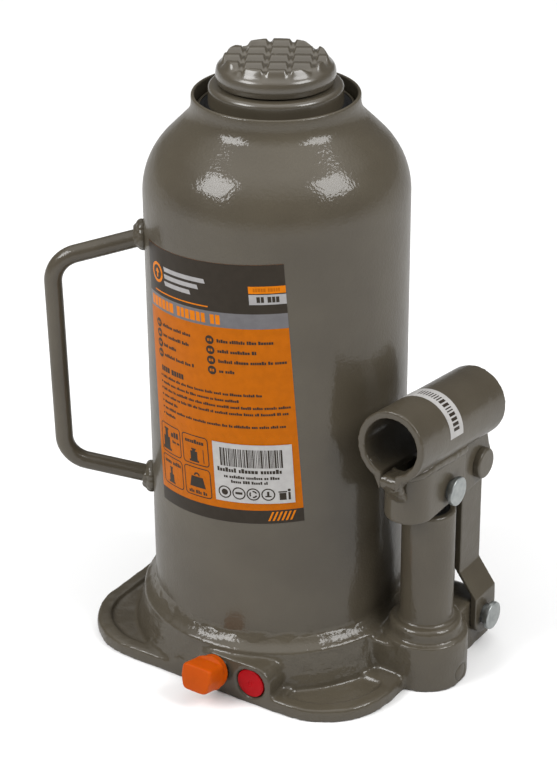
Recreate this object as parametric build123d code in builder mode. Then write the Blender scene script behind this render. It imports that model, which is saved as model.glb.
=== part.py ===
from build123d import *
from math import cos, pi, radians, sin, sqrt, tan
import os

# A hydraulic bottle jack, in millimetres, +Z up.
# Origin: where the ram's axis meets the ground. +X points from the ram to the pump, and
# the release valve is on the -Y side.

os.makedirs("parts", exist_ok=True)

# Driving dimensions
TOTAL_HEIGHT = 227.0
RUN_GAP = 0.06  # radial clearance of a running fit

PLATE_X_MIN = -62.0
PLATE_X_MAX = 64.5
PLATE_HALF_Y = 53.5
PLATE_CORNER = 28.5
PLATE_THICK = 5.3
POCKET_RIM = 5.5
POCKET_DEPTH = 1.7
PLATFORM_R = 52.0
PLATFORM_FOOT_R = 54.8
PLATFORM_TOP = 18.0
SPIGOT_TOP = 22.0
FLOOR_Z = 10.0

TANK_R = 47.0
TANK_WALL = 2.5
SHOULDER_Z = 178.0
SHOULDER_ARC = 28.0
NECK_R = 29.3
NECK_BORE_R = 28.0
NECK_TOP = 213.7
NECK_BLEND = 9.0
WELD_TOP = 24.5
WELD_R = 50.6

CYLINDER_R = 31.5
CYLINDER_BORE = 26.0
CYLINDER_TOP = 200.0
SEAL_THICK = 1.5
GLAND_LOW = 172.0
GLAND_TOP = 209.5

RAM_R = 23.4
RAM_LOW = 10.3
RAM_TOP = 217.1
RAM_NUT_LOW = 187.0
PISTON_TOP = 31.0

SCREW_R = 15.5
SCREW_LOW = 118.0
SADDLE_R = 21.1
SADDLE_LOW = 217.5
SADDLE_DECK = 225.3
WAFFLE_PITCH = 8.1
WAFFLE_ANGLE = 30.3

PUMP_X = 64.2
PUMP_BOSS_R = 15.6
PUMP_BOSS_TOP = 19.0
PUMP_COLLAR_R = 13.4
PUMP_COLLAR_TOP = 24.6
PUMP_R = 9.75
PUMP_LOW = 12.0
PUMP_TOP = 70.0
PLUNGER_R = 5.5
PLUNGER_LOW = 16.0

LINK_Y = 27.6
LINK_LOW_Z = 13.2
RIVET_Z = 76.8
LINK_END_R = 7.5
LINK_THICK = 2.5
FORK_IN = 7.4
LUG_HALF = 7.2
PIN_R = 3.5
PIN_HEAD_R = 5.4
PIN_HEAD_THICK = 2.6
PLUNGER_PIN_Z = 79.5

SOCKET_R = 13.0
SOCKET_BORE = 10.3
SOCKET_LENGTH = 60.0
SOCKET_TILT = 7.0
MOUTH_Y = -28.3
MOUTH_Z = 106.6
FLANGE_IN = 2.9
FLANGE_OUT = 5.4
YOKE_IN = 5.8
YOKE_OUT = 8.8
YOKE_BEND_Y = -14.0
YOKE_REAR_Y = 10.3
YOKE_LOW = 74.0

HANDLE_ANGLE = 215.0
HANDLE_ROD = 3.25

VALVE_X = 7.5
VALVE_Z = 9.6
VALVE_TILT = 14.0
VALVE_R = 4.5
PLUG_X = 21.9
PLUG_Z = 8.5
BOSS_X_MIN = -1.0
BOSS_X_MAX = 30.6
BOSS_TOP = 16.2

LABEL_WIDTH = 60.2
LABEL_HEIGHT = 99.4
LABEL_MID_ARC = 3.0
LABEL_MID_Z = 118.3
LABEL_TURN = 3.9
LABEL_THICK = 0.2
CODE_WIDTH = 29.0
CODE_HEIGHT = 23.3
CODE_MID_ARC = 18.2
CODE_MID_Z = 89.4
CODE_TURN = 3.0


def polar(radius, angle, z=0.0):
    """A point at a radius and an angle in degrees about the ram's axis."""
    return (radius * cos(radians(angle)), radius * sin(radians(angle)), z)


def across_pump(y, z, offset=0.0):
    """The plane of a pin that crosses the pump: its normal is +X."""
    return Plane(origin=(PUMP_X + offset, y, z), x_dir=(0, 1, 0), z_dir=(1, 0, 0))


def tank_wall(angle, z, radius=TANK_R):
    """The plane that touches the tank at an angle and a height, with its normal outwards."""
    return Plane(
        origin=polar(radius, angle, z),
        x_dir=(-sin(radians(angle)), cos(radians(angle)), 0),
        z_dir=(cos(radians(angle)), sin(radians(angle)), 0),
    )


def arc_to_angle(arc):
    """The angle about the ram's axis of a place on the label, given along the tank's wall."""
    return -90.0 + arc / TANK_R * 180.0 / pi


def save(piece, name):
    piece.label = name
    export_step(piece, "parts/" + name + ".step")


SOCKET_PLANE = Plane(
    origin=(PUMP_X, MOUTH_Y, MOUTH_Z),
    x_dir=(1, 0, 0),
    z_dir=(0, cos(radians(SOCKET_TILT)), -sin(radians(SOCKET_TILT))),
)
VALVE_PLANE = Plane(
    origin=(VALVE_X, -PLATE_HALF_Y, VALVE_Z),
    x_dir=(1, 0, 0),
    z_dir=(0, -cos(radians(VALVE_TILT)), sin(radians(VALVE_TILT))),
)
PLUG_PLANE = Plane(origin=(PLUG_X, -PLATE_HALF_Y, PLUG_Z), x_dir=(1, 0, 0), z_dir=(0, -1, 0))
PLATE_MID_X = (PLATE_X_MIN + PLATE_X_MAX) / 2
PLATE_LENGTH = PLATE_X_MAX - PLATE_X_MIN
VALVE_SEAT = 25.0
VALVE_SEAT_R = 1.5
RELEASE_BALL_R = 2.4
RELEASE_BALL_DEPTH = VALVE_SEAT - sqrt(RELEASE_BALL_R**2 - VALVE_SEAT_R**2)
CHECK_BALL_R = 2.5
CHECK_SEAT_R = 1.6
CHANNEL_R = 1.8
CHANNEL_Z = 4.2
PUMP_CHECK_Z = 7.2
OUTLET_X = 17.0
OUTLET_SEAT_Z = 6.4
RELIEF_DEPTH = 24.0

# Base casting: foot plate, round platform, valve boss, pump boss and link lug
with BuildPart() as base_casting:
    with BuildSketch(Plane.XY):
        with Locations((PLATE_MID_X, 0)):
            RectangleRounded(PLATE_LENGTH, 2 * PLATE_HALF_Y, PLATE_CORNER)
    extrude(amount=PLATE_THICK)
    chamfer(faces().sort_by(Axis.Z)[-1].edges(), 0.8)
    with BuildSketch(Plane.XY.offset(PLATE_THICK)):
        with Locations((PLATE_MID_X, 0)):
            RectangleRounded(
                PLATE_LENGTH - 2 * POCKET_RIM,
                2 * (PLATE_HALF_Y - POCKET_RIM),
                PLATE_CORNER - POCKET_RIM,
            )
        Circle(PLATFORM_R, mode=Mode.SUBTRACT)
        with Locations(((BOSS_X_MIN + BOSS_X_MAX) / 2, -PLATE_HALF_Y)):
            Rectangle(BOSS_X_MAX - BOSS_X_MIN + 7, 30, mode=Mode.SUBTRACT)
        with Locations((PLATE_X_MAX, 4)):
            RectangleRounded(64, 52, 8, mode=Mode.SUBTRACT)
    extrude(amount=-POCKET_DEPTH, mode=Mode.SUBTRACT)
    # Round platform with a flared foot, and the spigot that the tank sits over
    with BuildSketch(Plane.XZ):
        with BuildLine():
            Polyline(
                (0, 0),
                (PLATFORM_FOOT_R, 0),
                (PLATFORM_FOOT_R, PLATE_THICK),
                (PLATFORM_R + 1.2, PLATE_THICK + 4.5),
                (PLATFORM_R, PLATFORM_TOP - 2.0),
                (PLATFORM_R - 2.0, PLATFORM_TOP),
                (TANK_R - TANK_WALL - 0.1, PLATFORM_TOP),
                (TANK_R - TANK_WALL - 0.1, SPIGOT_TOP),
                (0, SPIGOT_TOP),
                (0, 0),
            )
        make_face()
    revolve(axis=Axis.Z)
    with BuildSketch(Plane.XY):
        with Locations((PLATE_MID_X, 0)):
            RectangleRounded(PLATE_LENGTH, 2 * PLATE_HALF_Y, PLATE_CORNER)
        with Locations((PUMP_X, 0)):
            Circle(PUMP_BOSS_R)
        with Locations((PUMP_X / 2, 0)):
            Rectangle(PUMP_X, 2 * PUMP_BOSS_R)
        with Locations((PUMP_X, LINK_Y / 2)):
            Rectangle(2 * LUG_HALF, LINK_Y + 18)
    extrude(amount=TOTAL_HEIGHT, mode=Mode.INTERSECT)
    # Boss that carries the release valve and the overload valve
    with BuildSketch(Plane.XZ.offset(PLATE_HALF_Y)):
        with Locations(((BOSS_X_MIN + BOSS_X_MAX) / 2, BOSS_TOP / 2)):
            Rectangle(BOSS_X_MAX - BOSS_X_MIN, BOSS_TOP)
        fillet(vertices().group_by(Axis.Y)[-1], 6.5)
    extrude(amount=-22)
    # Pump boss with its stepped collar, and the web that joins it to the platform
    with BuildSketch(Plane.XY):
        with Locations((PUMP_X, 0)):
            Circle(PUMP_BOSS_R)
    extrude(amount=PUMP_BOSS_TOP)
    with BuildSketch(Plane.XY):
        with Locations((PUMP_X, 0)):
            Circle(PUMP_COLLAR_R)
    extrude(amount=PUMP_COLLAR_TOP)
    chamfer(faces().filter_by(Plane.XY).sort_by(Axis.Z)[-1].edges(), 1.2)
    with BuildSketch(Plane.XY):
        with Locations((PUMP_X - 9, 0)):
            Rectangle(18, 2 * PUMP_BOSS_R - 1)
    extrude(amount=PLATFORM_TOP - 1)
    # Lug that the two links straddle
    with BuildSketch(across_pump(0, 0, -LUG_HALF)):
        with Locations((LINK_Y, LINK_LOW_Z)):
            Circle(8.2)
        with Locations((LINK_Y / 2 + 4.1, LINK_LOW_Z / 2)):
            Rectangle(LINK_Y + 8.2, LINK_LOW_Z)
        with Locations((LINK_Y / 2, (LINK_LOW_Z + 8.2) / 2)):
            Rectangle(LINK_Y, LINK_LOW_Z + 8.2)
    extrude(amount=2 * LUG_HALF)
    with BuildSketch(across_pump(LINK_Y, LINK_LOW_Z, -LUG_HALF)):
        Circle(PIN_R + RUN_GAP)
    extrude(amount=2 * LUG_HALF, mode=Mode.SUBTRACT)
    # Socket for the hydraulic cylinder
    with BuildSketch(Plane.XY.offset(FLOOR_Z)):
        Circle(CYLINDER_R + 0.05)
    extrude(amount=SPIGOT_TOP - FLOOR_Z, mode=Mode.SUBTRACT)
    # Bore for the pump cylinder, its washer and the pump chamber
    with BuildSketch(Plane.XY.offset(PUMP_LOW - SEAL_THICK)):
        with Locations((PUMP_X, 0)):
            Circle(PUMP_R + 0.05)
    extrude(amount=PUMP_COLLAR_TOP, mode=Mode.SUBTRACT)
    # Check-valve pockets under the pump and under the ram, and the channel between them
    for x, seat_z, top_z in (
        (PUMP_X, PUMP_CHECK_Z, PUMP_LOW),
        (OUTLET_X, OUTLET_SEAT_Z, FLOOR_Z + 0.5),
    ):
        with BuildSketch(Plane.XY.offset(seat_z)):
            with Locations((x, 0)):
                Circle(CHECK_BALL_R + 0.4)
        extrude(amount=top_z - seat_z, mode=Mode.SUBTRACT)
        with BuildSketch(Plane.XY.offset(CHANNEL_Z)):
            with Locations((x, 0)):
                Circle(CHECK_SEAT_R)
        extrude(amount=seat_z - CHANNEL_Z, mode=Mode.SUBTRACT)
    with BuildSketch(Plane.YZ.offset(PUMP_X + PUMP_BOSS_R)):
        with Locations((0, CHANNEL_Z)):
            Circle(CHANNEL_R)
    extrude(amount=-(PUMP_X + PUMP_BOSS_R - OUTLET_X + 1), mode=Mode.SUBTRACT)
    with BuildSketch(Plane.YZ.offset(PUMP_X + PUMP_BOSS_R + 1)):
        with Locations((0, CHANNEL_Z)):
            Circle(3.0)
    extrude(amount=-8, mode=Mode.SUBTRACT)
    # Release-valve bore: thread, ball pocket, then the seat's channel
    for radius, depth in (
        (VALVE_R + RUN_GAP, 21.0),
        (RELEASE_BALL_R + 0.2, VALVE_SEAT),
        (VALVE_SEAT_R, VALVE_SEAT + 8),
    ):
        with BuildSketch(VALVE_PLANE.offset(3)):
            Circle(radius)
        extrude(amount=-(depth + 3), mode=Mode.SUBTRACT)
    # Overload-valve bore behind the round plug
    for radius, depth in ((6.0, 2.2), (4.0, RELIEF_DEPTH), (VALVE_SEAT_R, RELIEF_DEPTH + 10)):
        with BuildSketch(PLUG_PLANE.offset(1)):
            Circle(radius)
        extrude(amount=-(depth + 1), mode=Mode.SUBTRACT)
save(base_casting.part, "base_casting")


def shell_profile(inset, neck, blend):
    """Half-section of the tank's outside, or of its inside at a wall's inset."""
    arc = SHOULDER_ARC - inset
    centre = TANK_R - SHOULDER_ARC
    slope_r = centre + arc * cos(pi / 4)
    slope_z = SHOULDER_Z + arc * sin(pi / 4)
    low = PLATFORM_TOP - inset
    neck_z = slope_z + slope_r - neck
    run = blend * tan(pi / 8)
    slope_end = (neck + run * cos(pi / 4), neck_z - run * sin(pi / 4))
    with BuildLine() as outline:
        Line((0, low), (TANK_R - inset, low))
        Line((TANK_R - inset, low), (TANK_R - inset, SHOULDER_Z))
        CenterArc((centre, SHOULDER_Z), arc, 0, 45)
        Line((slope_r, slope_z), slope_end)
        TangentArc((neck, neck_z + run), slope_end, tangent=(0, -1))
        Line((neck, neck_z + run), (neck, NECK_TOP + inset))
        Line((neck, NECK_TOP + inset), (0, NECK_TOP + inset))
        Line((0, NECK_TOP + inset), (0, low))
    return outline.line


# Reservoir tank: drawn shell with a domed shoulder and a short neck
FILLER_ANGLE = 140.0
FILLER_Z = 166.0
FILLER_R = 4.2
with BuildPart() as reservoir_tank:
    with BuildSketch(Plane.XZ):
        make_face(shell_profile(0.0, NECK_R, NECK_BLEND).edges())
        make_face(shell_profile(TANK_WALL, NECK_BORE_R, NECK_BLEND).edges(), mode=Mode.SUBTRACT)
    revolve(axis=Axis.Z)
    chamfer(faces().filter_by(Plane.XY).sort_by(Axis.Z)[-1].edges(), 0.4)
    with BuildSketch(tank_wall(FILLER_ANGLE, FILLER_Z, TANK_R + 2)):
        Circle(FILLER_R)
    extrude(amount=-8, mode=Mode.SUBTRACT)
save(reservoir_tank.part, "reservoir_tank")

# Weld between the tank and the platform
with BuildPart() as tank_base_weld:
    with BuildSketch(Plane.XZ):
        with BuildLine():
            Line((TANK_R, PLATFORM_TOP), (WELD_R, PLATFORM_TOP))
            ThreePointArc(
                (WELD_R, PLATFORM_TOP),
                (TANK_R + 2.5, PLATFORM_TOP + 4.2),
                (TANK_R, WELD_TOP),
            )
            Line((TANK_R, WELD_TOP), (TANK_R, PLATFORM_TOP))
        make_face()
    revolve(axis=Axis.Z)
    with BuildSketch(Plane.XY):
        with Locations((PLATE_MID_X, 0)):
            RectangleRounded(PLATE_LENGTH, 2 * PLATE_HALF_Y, PLATE_CORNER)
    extrude(amount=TOTAL_HEIGHT, mode=Mode.INTERSECT)
    with BuildSketch(Plane.XY):
        with Locations((PUMP_X, 0)):
            Circle(PUMP_BOSS_R)
    extrude(amount=PUMP_BOSS_TOP, mode=Mode.SUBTRACT)
save(tank_base_weld.part, "tank_base_weld")

# Hydraulic cylinder and the flat seal under it
with BuildPart() as hydraulic_cylinder:
    with BuildSketch(Plane.XY.offset(FLOOR_Z + SEAL_THICK)):
        Circle(CYLINDER_R)
        Circle(CYLINDER_BORE, mode=Mode.SUBTRACT)
    extrude(amount=CYLINDER_TOP - FLOOR_Z - SEAL_THICK)
save(hydraulic_cylinder.part, "hydraulic_cylinder")

with BuildPart() as cylinder_base_seal:
    with BuildSketch(Plane.XY.offset(FLOOR_Z)):
        Circle(CYLINDER_R - 0.3)
        Circle(CYLINDER_BORE + 0.4, mode=Mode.SUBTRACT)
    extrude(amount=SEAL_THICK)
save(cylinder_base_seal.part, "cylinder_base_seal")

# Gland nut: threaded into the cylinder's top, with a flange that fills the neck
WIPER_LOW = 205.0
WIPER_R = 26.2
GLAND_RING_Z = 203.5
with BuildPart() as gland_nut:
    with BuildSketch(Plane.XY.offset(GLAND_LOW)):
        Circle(CYLINDER_BORE)
    extrude(amount=CYLINDER_TOP - GLAND_LOW)
    with BuildSketch(Plane.XY.offset(CYLINDER_TOP)):
        Circle(NECK_BORE_R - 0.3)
    extrude(amount=GLAND_TOP - CYLINDER_TOP)
    chamfer(faces().sort_by(Axis.Z)[-1].edges(), 0.8)
    with BuildSketch(Plane.XY.offset(GLAND_LOW)):
        Circle(RAM_R + RUN_GAP)
    extrude(amount=TOTAL_HEIGHT, mode=Mode.SUBTRACT)
    with BuildSketch(Plane.XY.offset(WIPER_LOW)):
        Circle(WIPER_R)
    extrude(amount=TOTAL_HEIGHT, mode=Mode.SUBTRACT)
    with BuildSketch(Plane.XZ):
        with Locations((NECK_BORE_R - 0.3, GLAND_RING_Z)):
            Rectangle(3.2, 2.2)
    revolve(axis=Axis.Z, mode=Mode.SUBTRACT)
save(gland_nut.part, "gland_nut")

with BuildPart() as gland_seal:
    with BuildSketch(Plane.XZ):
        with Locations((NECK_BORE_R - 1.0, GLAND_RING_Z)):
            Circle(0.9)
    revolve(axis=Axis.Z)
save(gland_seal.part, "gland_seal")

with BuildPart() as ram_wiper:
    with BuildSketch(Plane.XZ):
        with BuildLine():
            Polyline(
                (RAM_R + RUN_GAP, WIPER_LOW),
                (WIPER_R, WIPER_LOW),
                (WIPER_R, GLAND_TOP - 0.5),
                (RAM_R + 1.4, GLAND_TOP - 0.5),
                (RAM_R + RUN_GAP, GLAND_TOP + 0.6),
                (RAM_R + RUN_GAP, WIPER_LOW),
            )
        make_face()
    revolve(axis=Axis.Z)
save(ram_wiper.part, "ram_wiper")

# Carry handle: one bent rod in an upright plane through the ram's axis
HANDLE_TOP_Z = 161.0
HANDLE_LOW_Z = 64.5
HANDLE_BEND = 11.0
with BuildPart() as carry_handle:
    with BuildLine():
        FilletPolyline(
            polar(TANK_R - 2, HANDLE_ANGLE, HANDLE_TOP_Z + 0.4),
            polar(80.0, HANDLE_ANGLE, 152.5),
            polar(79.0, HANDLE_ANGLE, 73.5),
            polar(TANK_R - 2, HANDLE_ANGLE, HANDLE_LOW_Z - 0.4),
            radius=HANDLE_BEND,
        )
    with BuildSketch(tank_wall(HANDLE_ANGLE, HANDLE_TOP_Z + 0.4, TANK_R - 2)):
        Circle(HANDLE_ROD)
    sweep()
    with BuildSketch(Plane.XY):
        Circle(TANK_R)
    extrude(amount=TOTAL_HEIGHT, mode=Mode.SUBTRACT)
save(carry_handle.part, "carry_handle")

with BuildPart() as handle_welds:
    for z in (HANDLE_TOP_Z, HANDLE_LOW_Z):
        with BuildSketch(tank_wall(HANDLE_ANGLE, z, TANK_R - 2)):
            Circle(6.4)
        extrude(amount=6.2, taper=26)
    with BuildSketch(Plane.XY):
        Circle(TANK_R)
    extrude(amount=TOTAL_HEIGHT, mode=Mode.SUBTRACT)
    add(carry_handle.part, mode=Mode.SUBTRACT)
save(handle_welds.part, "handle_welds")

# Rubber plug of the oil filler hole
with BuildPart() as filler_plug:
    with BuildSketch(tank_wall(FILLER_ANGLE, FILLER_Z, TANK_R - 3.4)):
        Circle(FILLER_R - 0.02)
    extrude(amount=4.2)
    with BuildSketch(tank_wall(FILLER_ANGLE, FILLER_Z, TANK_R + 0.5)):
        Circle(6.5)
    extrude(amount=2.0)
    chamfer(edges().filter_by(GeomType.CIRCLE).group_by(SortBy.RADIUS)[-1], 0.7)
save(filler_plug.part, "filler_plug")

# Pump cylinder screwed into its boss, with its washer and wiper
PUMP_WIPER_LOW = 66.2
PUMP_WIPER_R = 7.6
with BuildPart() as pump_cylinder:
    with BuildSketch(Plane.XY.offset(PUMP_LOW)):
        with Locations((PUMP_X, 0)):
            Circle(PUMP_R)
    extrude(amount=PUMP_TOP - PUMP_LOW)
    chamfer(faces().sort_by(Axis.Z)[-1].edges(), 0.9)
    with BuildSketch(Plane.XY.offset(PUMP_LOW)):
        with Locations((PUMP_X, 0)):
            Circle(PLUNGER_R + RUN_GAP)
    extrude(amount=TOTAL_HEIGHT, mode=Mode.SUBTRACT)
    with BuildSketch(Plane.XY.offset(PUMP_WIPER_LOW)):
        with Locations((PUMP_X, 0)):
            Circle(PUMP_WIPER_R)
    extrude(amount=TOTAL_HEIGHT, mode=Mode.SUBTRACT)
save(pump_cylinder.part, "pump_cylinder")

for name, low, thick, outer, inner in (
    ("pump_base_washer", PUMP_LOW - SEAL_THICK, SEAL_THICK, PUMP_R - 0.2, PLUNGER_R),
    ("pump_wiper", PUMP_WIPER_LOW, 3.4, PUMP_WIPER_R, PLUNGER_R + RUN_GAP),
):
    with BuildPart() as ring:
        with BuildSketch(Plane.XY.offset(low)):
            with Locations((PUMP_X, 0)):
                Circle(outer)
                Circle(inner, mode=Mode.SUBTRACT)
        extrude(amount=thick)
    save(ring.part, name)

# Check-valve balls, and the plug of the drilled channel
for name, x, seat_z in (
    ("inlet_ball", PUMP_X, PUMP_CHECK_Z),
    ("outlet_ball", OUTLET_X, OUTLET_SEAT_Z),
):
    with BuildPart() as ball:
        with Locations((x, 0, seat_z + sqrt(CHECK_BALL_R**2 - CHECK_SEAT_R**2))):
            Sphere(CHECK_BALL_R)
    save(ball.part, name)

with BuildPart() as channel_plug:
    with BuildSketch(Plane.YZ.offset(PUMP_X + PUMP_BOSS_R - 7)):
        with Locations((0, CHANNEL_Z)):
            Circle(3.0)
    extrude(amount=6.2)
save(channel_plug.part, "channel_plug")

# Overload valve: ball, spring, set screw and the round plug that covers them
with BuildPart() as relief_ball:
    with Locations(PLUG_PLANE.offset(-RELIEF_DEPTH + 2.0)):
        Sphere(CHECK_BALL_R)
save(relief_ball.part, "relief_ball")

SPRING_R = 2.8
SPRING_WIRE = 0.5
SPRING_LENGTH = 9.0
with BuildPart() as relief_spring:
    with BuildLine() as coil:
        Helix(
            pitch=1.8,
            height=SPRING_LENGTH,
            radius=SPRING_R,
            center=PLUG_PLANE.offset(-RELIEF_DEPTH + 5.2).origin,
            direction=PLUG_PLANE.z_dir,
        )
    with BuildSketch(Plane(origin=coil.line @ 0, z_dir=coil.line % 0)):
        Circle(SPRING_WIRE)
    sweep(is_frenet=True)
save(relief_spring.part, "relief_spring")

with BuildPart() as relief_screw:
    with BuildSketch(PLUG_PLANE.offset(-RELIEF_DEPTH + 15)):
        Circle(3.95)
    extrude(amount=5)
    with BuildSketch(PLUG_PLANE.offset(-RELIEF_DEPTH + 20)):
        RegularPolygon(2.0, 6)
    extrude(amount=-3, mode=Mode.SUBTRACT)
save(relief_screw.part, "relief_screw")

with BuildPart() as safety_plug:
    with BuildSketch(PLUG_PLANE.offset(-2.1)):
        Circle(5.6)
    extrude(amount=1.7)
    chamfer(faces().sort_by(Axis.Y)[0].edges(), 0.3)
    with BuildSketch(PLUG_PLANE.offset(-2.1)):
        Circle(3.6)
    extrude(amount=-1.6)
save(safety_plug.part, "safety_plug")

# Labels: thin skins on the tank
def wall_skin(name, arc, z, width, height, turn, low, thick):
    """A rounded rectangle that follows the tank's wall, turned in its own plane."""
    plane = tank_wall(arc_to_angle(arc), z, 0)
    with BuildPart() as skin:
        with BuildSketch(Plane.XY):
            Circle(low + thick)
            Circle(low, mode=Mode.SUBTRACT)
        extrude(amount=SHOULDER_Z)
        with BuildSketch(plane):
            RectangleRounded(width, height, 1.5, rotation=turn)
        extrude(amount=TANK_R + 10, mode=Mode.INTERSECT)
    save(skin.part, name)


def flat_width(arc_width):
    """The straight width whose projection covers a width measured along the tank's wall."""
    return 2 * TANK_R * sin(arc_width / 2 / TANK_R)


wall_skin(
    "main_label",
    LABEL_MID_ARC,
    LABEL_MID_Z,
    flat_width(LABEL_WIDTH),
    LABEL_HEIGHT,
    LABEL_TURN,
    TANK_R,
    LABEL_THICK,
)
wall_skin(
    "code_label",
    CODE_MID_ARC,
    CODE_MID_Z,
    flat_width(CODE_WIDTH),
    CODE_HEIGHT,
    CODE_TURN,
    TANK_R + LABEL_THICK,
    LABEL_THICK,
)

# Ram: a thick tube with a piston at its foot and a nut section at its top
RAM_HOLLOW_R = 17.2
RAM_FOOT_RECESS_R = 20.0
RAM_FOOT_RECESS = 2.4
RAM_HOLLOW_LOW = 32.0
PISTON_R = CYLINDER_BORE - RUN_GAP
SEAL_Z = 16.5
GUIDE_Z = 25.0
PISTON_RINGS = (("piston_seal", SEAL_Z, 5.0, 21.5), ("piston_guide_ring", GUIDE_Z, 6.0, 24.0))
with BuildPart() as ram:
    with BuildSketch(Plane.XY.offset(RAM_LOW)):
        Circle(RAM_R)
    extrude(amount=RAM_TOP - RAM_LOW)
    fillet(faces().sort_by(Axis.Z)[-1].edges(), 1.8)
    with BuildSketch(Plane.XY.offset(RAM_LOW)):
        Circle(PISTON_R)
    extrude(amount=PISTON_TOP - RAM_LOW)
    with BuildSketch(Plane.XY.offset(RAM_LOW)):
        Circle(RAM_FOOT_RECESS_R)
    extrude(amount=RAM_FOOT_RECESS, mode=Mode.SUBTRACT)
    with BuildSketch(Plane.XY.offset(RAM_HOLLOW_LOW)):
        Circle(SCREW_R + RUN_GAP)
    extrude(amount=TOTAL_HEIGHT, mode=Mode.SUBTRACT)
    with BuildSketch(Plane.XY.offset(RAM_HOLLOW_LOW)):
        Circle(RAM_HOLLOW_R)
    extrude(amount=RAM_NUT_LOW - RAM_HOLLOW_LOW, mode=Mode.SUBTRACT)
    for name, z, height, root in PISTON_RINGS:
        with BuildSketch(Plane.XY.offset(z - height / 2)):
            Circle(PISTON_R + 1)
            Circle(root, mode=Mode.SUBTRACT)
        extrude(amount=height, mode=Mode.SUBTRACT)
save(ram.part, "ram")

for name, z, height, root in PISTON_RINGS:
    with BuildPart() as ring:
        with BuildSketch(Plane.XY.offset(z - height / 2)):
            Circle(CYLINDER_BORE - 0.02)
            Circle(root, mode=Mode.SUBTRACT)
        extrude(amount=height)
    save(ring.part, name)

# Extension screw with its waffle-topped saddle, and the stop ring at its lower end
STOP_RING_Z = SCREW_LOW + 3.0
STOP_RING_THICK = 2.0
SCREW_NECK_R = 13.8
with BuildPart() as extension_screw:
    with BuildSketch(Plane.XY.offset(SCREW_LOW)):
        Circle(SCREW_R)
    extrude(amount=SADDLE_LOW - SCREW_LOW)
    chamfer(faces().sort_by(Axis.Z)[0].edges(), 1.2)
    with BuildSketch(Plane.XY.offset(STOP_RING_Z)):
        Circle(SCREW_R + 1)
        Circle(SCREW_NECK_R, mode=Mode.SUBTRACT)
    extrude(amount=STOP_RING_THICK + 0.2, mode=Mode.SUBTRACT)
    with BuildSketch(Plane.XZ):
        with BuildLine():
            Line((0, SADDLE_LOW), (SADDLE_R - 1.2, SADDLE_LOW))
            ThreePointArc(
                (SADDLE_R - 1.2, SADDLE_LOW),
                (SADDLE_R, SADDLE_LOW + 3.6),
                (SADDLE_R - 2.4, SADDLE_DECK),
            )
            Line((SADDLE_R - 2.4, SADDLE_DECK), (0, SADDLE_DECK))
            Line((0, SADDLE_DECK), (0, SADDLE_LOW))
        make_face()
    revolve(axis=Axis.Z)
    with BuildSketch(Plane.XY.rotated((0, 0, WAFFLE_ANGLE)).offset(SADDLE_DECK)):
        with GridLocations(WAFFLE_PITCH, WAFFLE_PITCH, 5, 6):
            Rectangle(WAFFLE_PITCH - 1.6, WAFFLE_PITCH - 1.6)
        Circle(SADDLE_R - 2.6, mode=Mode.INTERSECT)
    extrude(amount=TOTAL_HEIGHT - SADDLE_DECK, taper=20)
save(extension_screw.part, "extension_screw")

with BuildPart() as screw_stop_ring:
    with BuildSketch(Plane.XY.offset(STOP_RING_Z + 0.1)):
        Circle(RAM_HOLLOW_R - 0.3)
        Circle(SCREW_NECK_R + 0.1, mode=Mode.SUBTRACT)
        with Locations((0, -SCREW_R)):
            Rectangle(5, 8, mode=Mode.SUBTRACT)
    extrude(amount=STOP_RING_THICK)
save(screw_stop_ring.part, "screw_stop_ring")

# Pump plunger: a round rod whose flat eye takes the socket's pin.
# The eye is slotted, because the pin swings a little to either side as the socket lifts.
EYE_R = 8.0
EYE_THICK = 10.8
EYE_CLEAR_Y = 1.75
EYE_CLEAR_Z = 0.9
PLUNGER_SEAL_Z = 21.0
PLUNGER_SEAL_THICK = 3.0
with BuildPart() as pump_plunger:
    with BuildSketch(Plane.XY.offset(PLUNGER_LOW)):
        with Locations((PUMP_X, 0)):
            Circle(PLUNGER_R)
    extrude(amount=PLUNGER_PIN_Z - PLUNGER_LOW)
    chamfer(faces().sort_by(Axis.Z)[0].edges(), 0.6)
    with BuildSketch(Plane.XY.offset(PLUNGER_SEAL_Z)):
        with Locations((PUMP_X, 0)):
            Circle(PLUNGER_R + 1)
            Circle(PLUNGER_R - 1.4, mode=Mode.SUBTRACT)
    extrude(amount=PLUNGER_SEAL_THICK, mode=Mode.SUBTRACT)
    with BuildSketch(across_pump(0, PLUNGER_PIN_Z, -EYE_THICK / 2)):
        Circle(EYE_R)
    extrude(amount=EYE_THICK)
    with BuildSketch(across_pump(0, PLUNGER_PIN_Z, -EYE_THICK)):
        Rectangle(2 * (PIN_R + EYE_CLEAR_Y), 2 * (PIN_R + EYE_CLEAR_Z))
        fillet(vertices(), PIN_R)
    extrude(amount=2 * EYE_THICK, mode=Mode.SUBTRACT)
save(pump_plunger.part, "pump_plunger")

with BuildPart() as plunger_seal:
    with BuildSketch(Plane.XY.offset(PLUNGER_SEAL_Z)):
        with Locations((PUMP_X, 0)):
            Circle(PLUNGER_R + RUN_GAP - 0.02)
            Circle(PLUNGER_R - 1.4, mode=Mode.SUBTRACT)
    extrude(amount=PLUNGER_SEAL_THICK)
save(plunger_seal.part, "plunger_seal")

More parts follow.
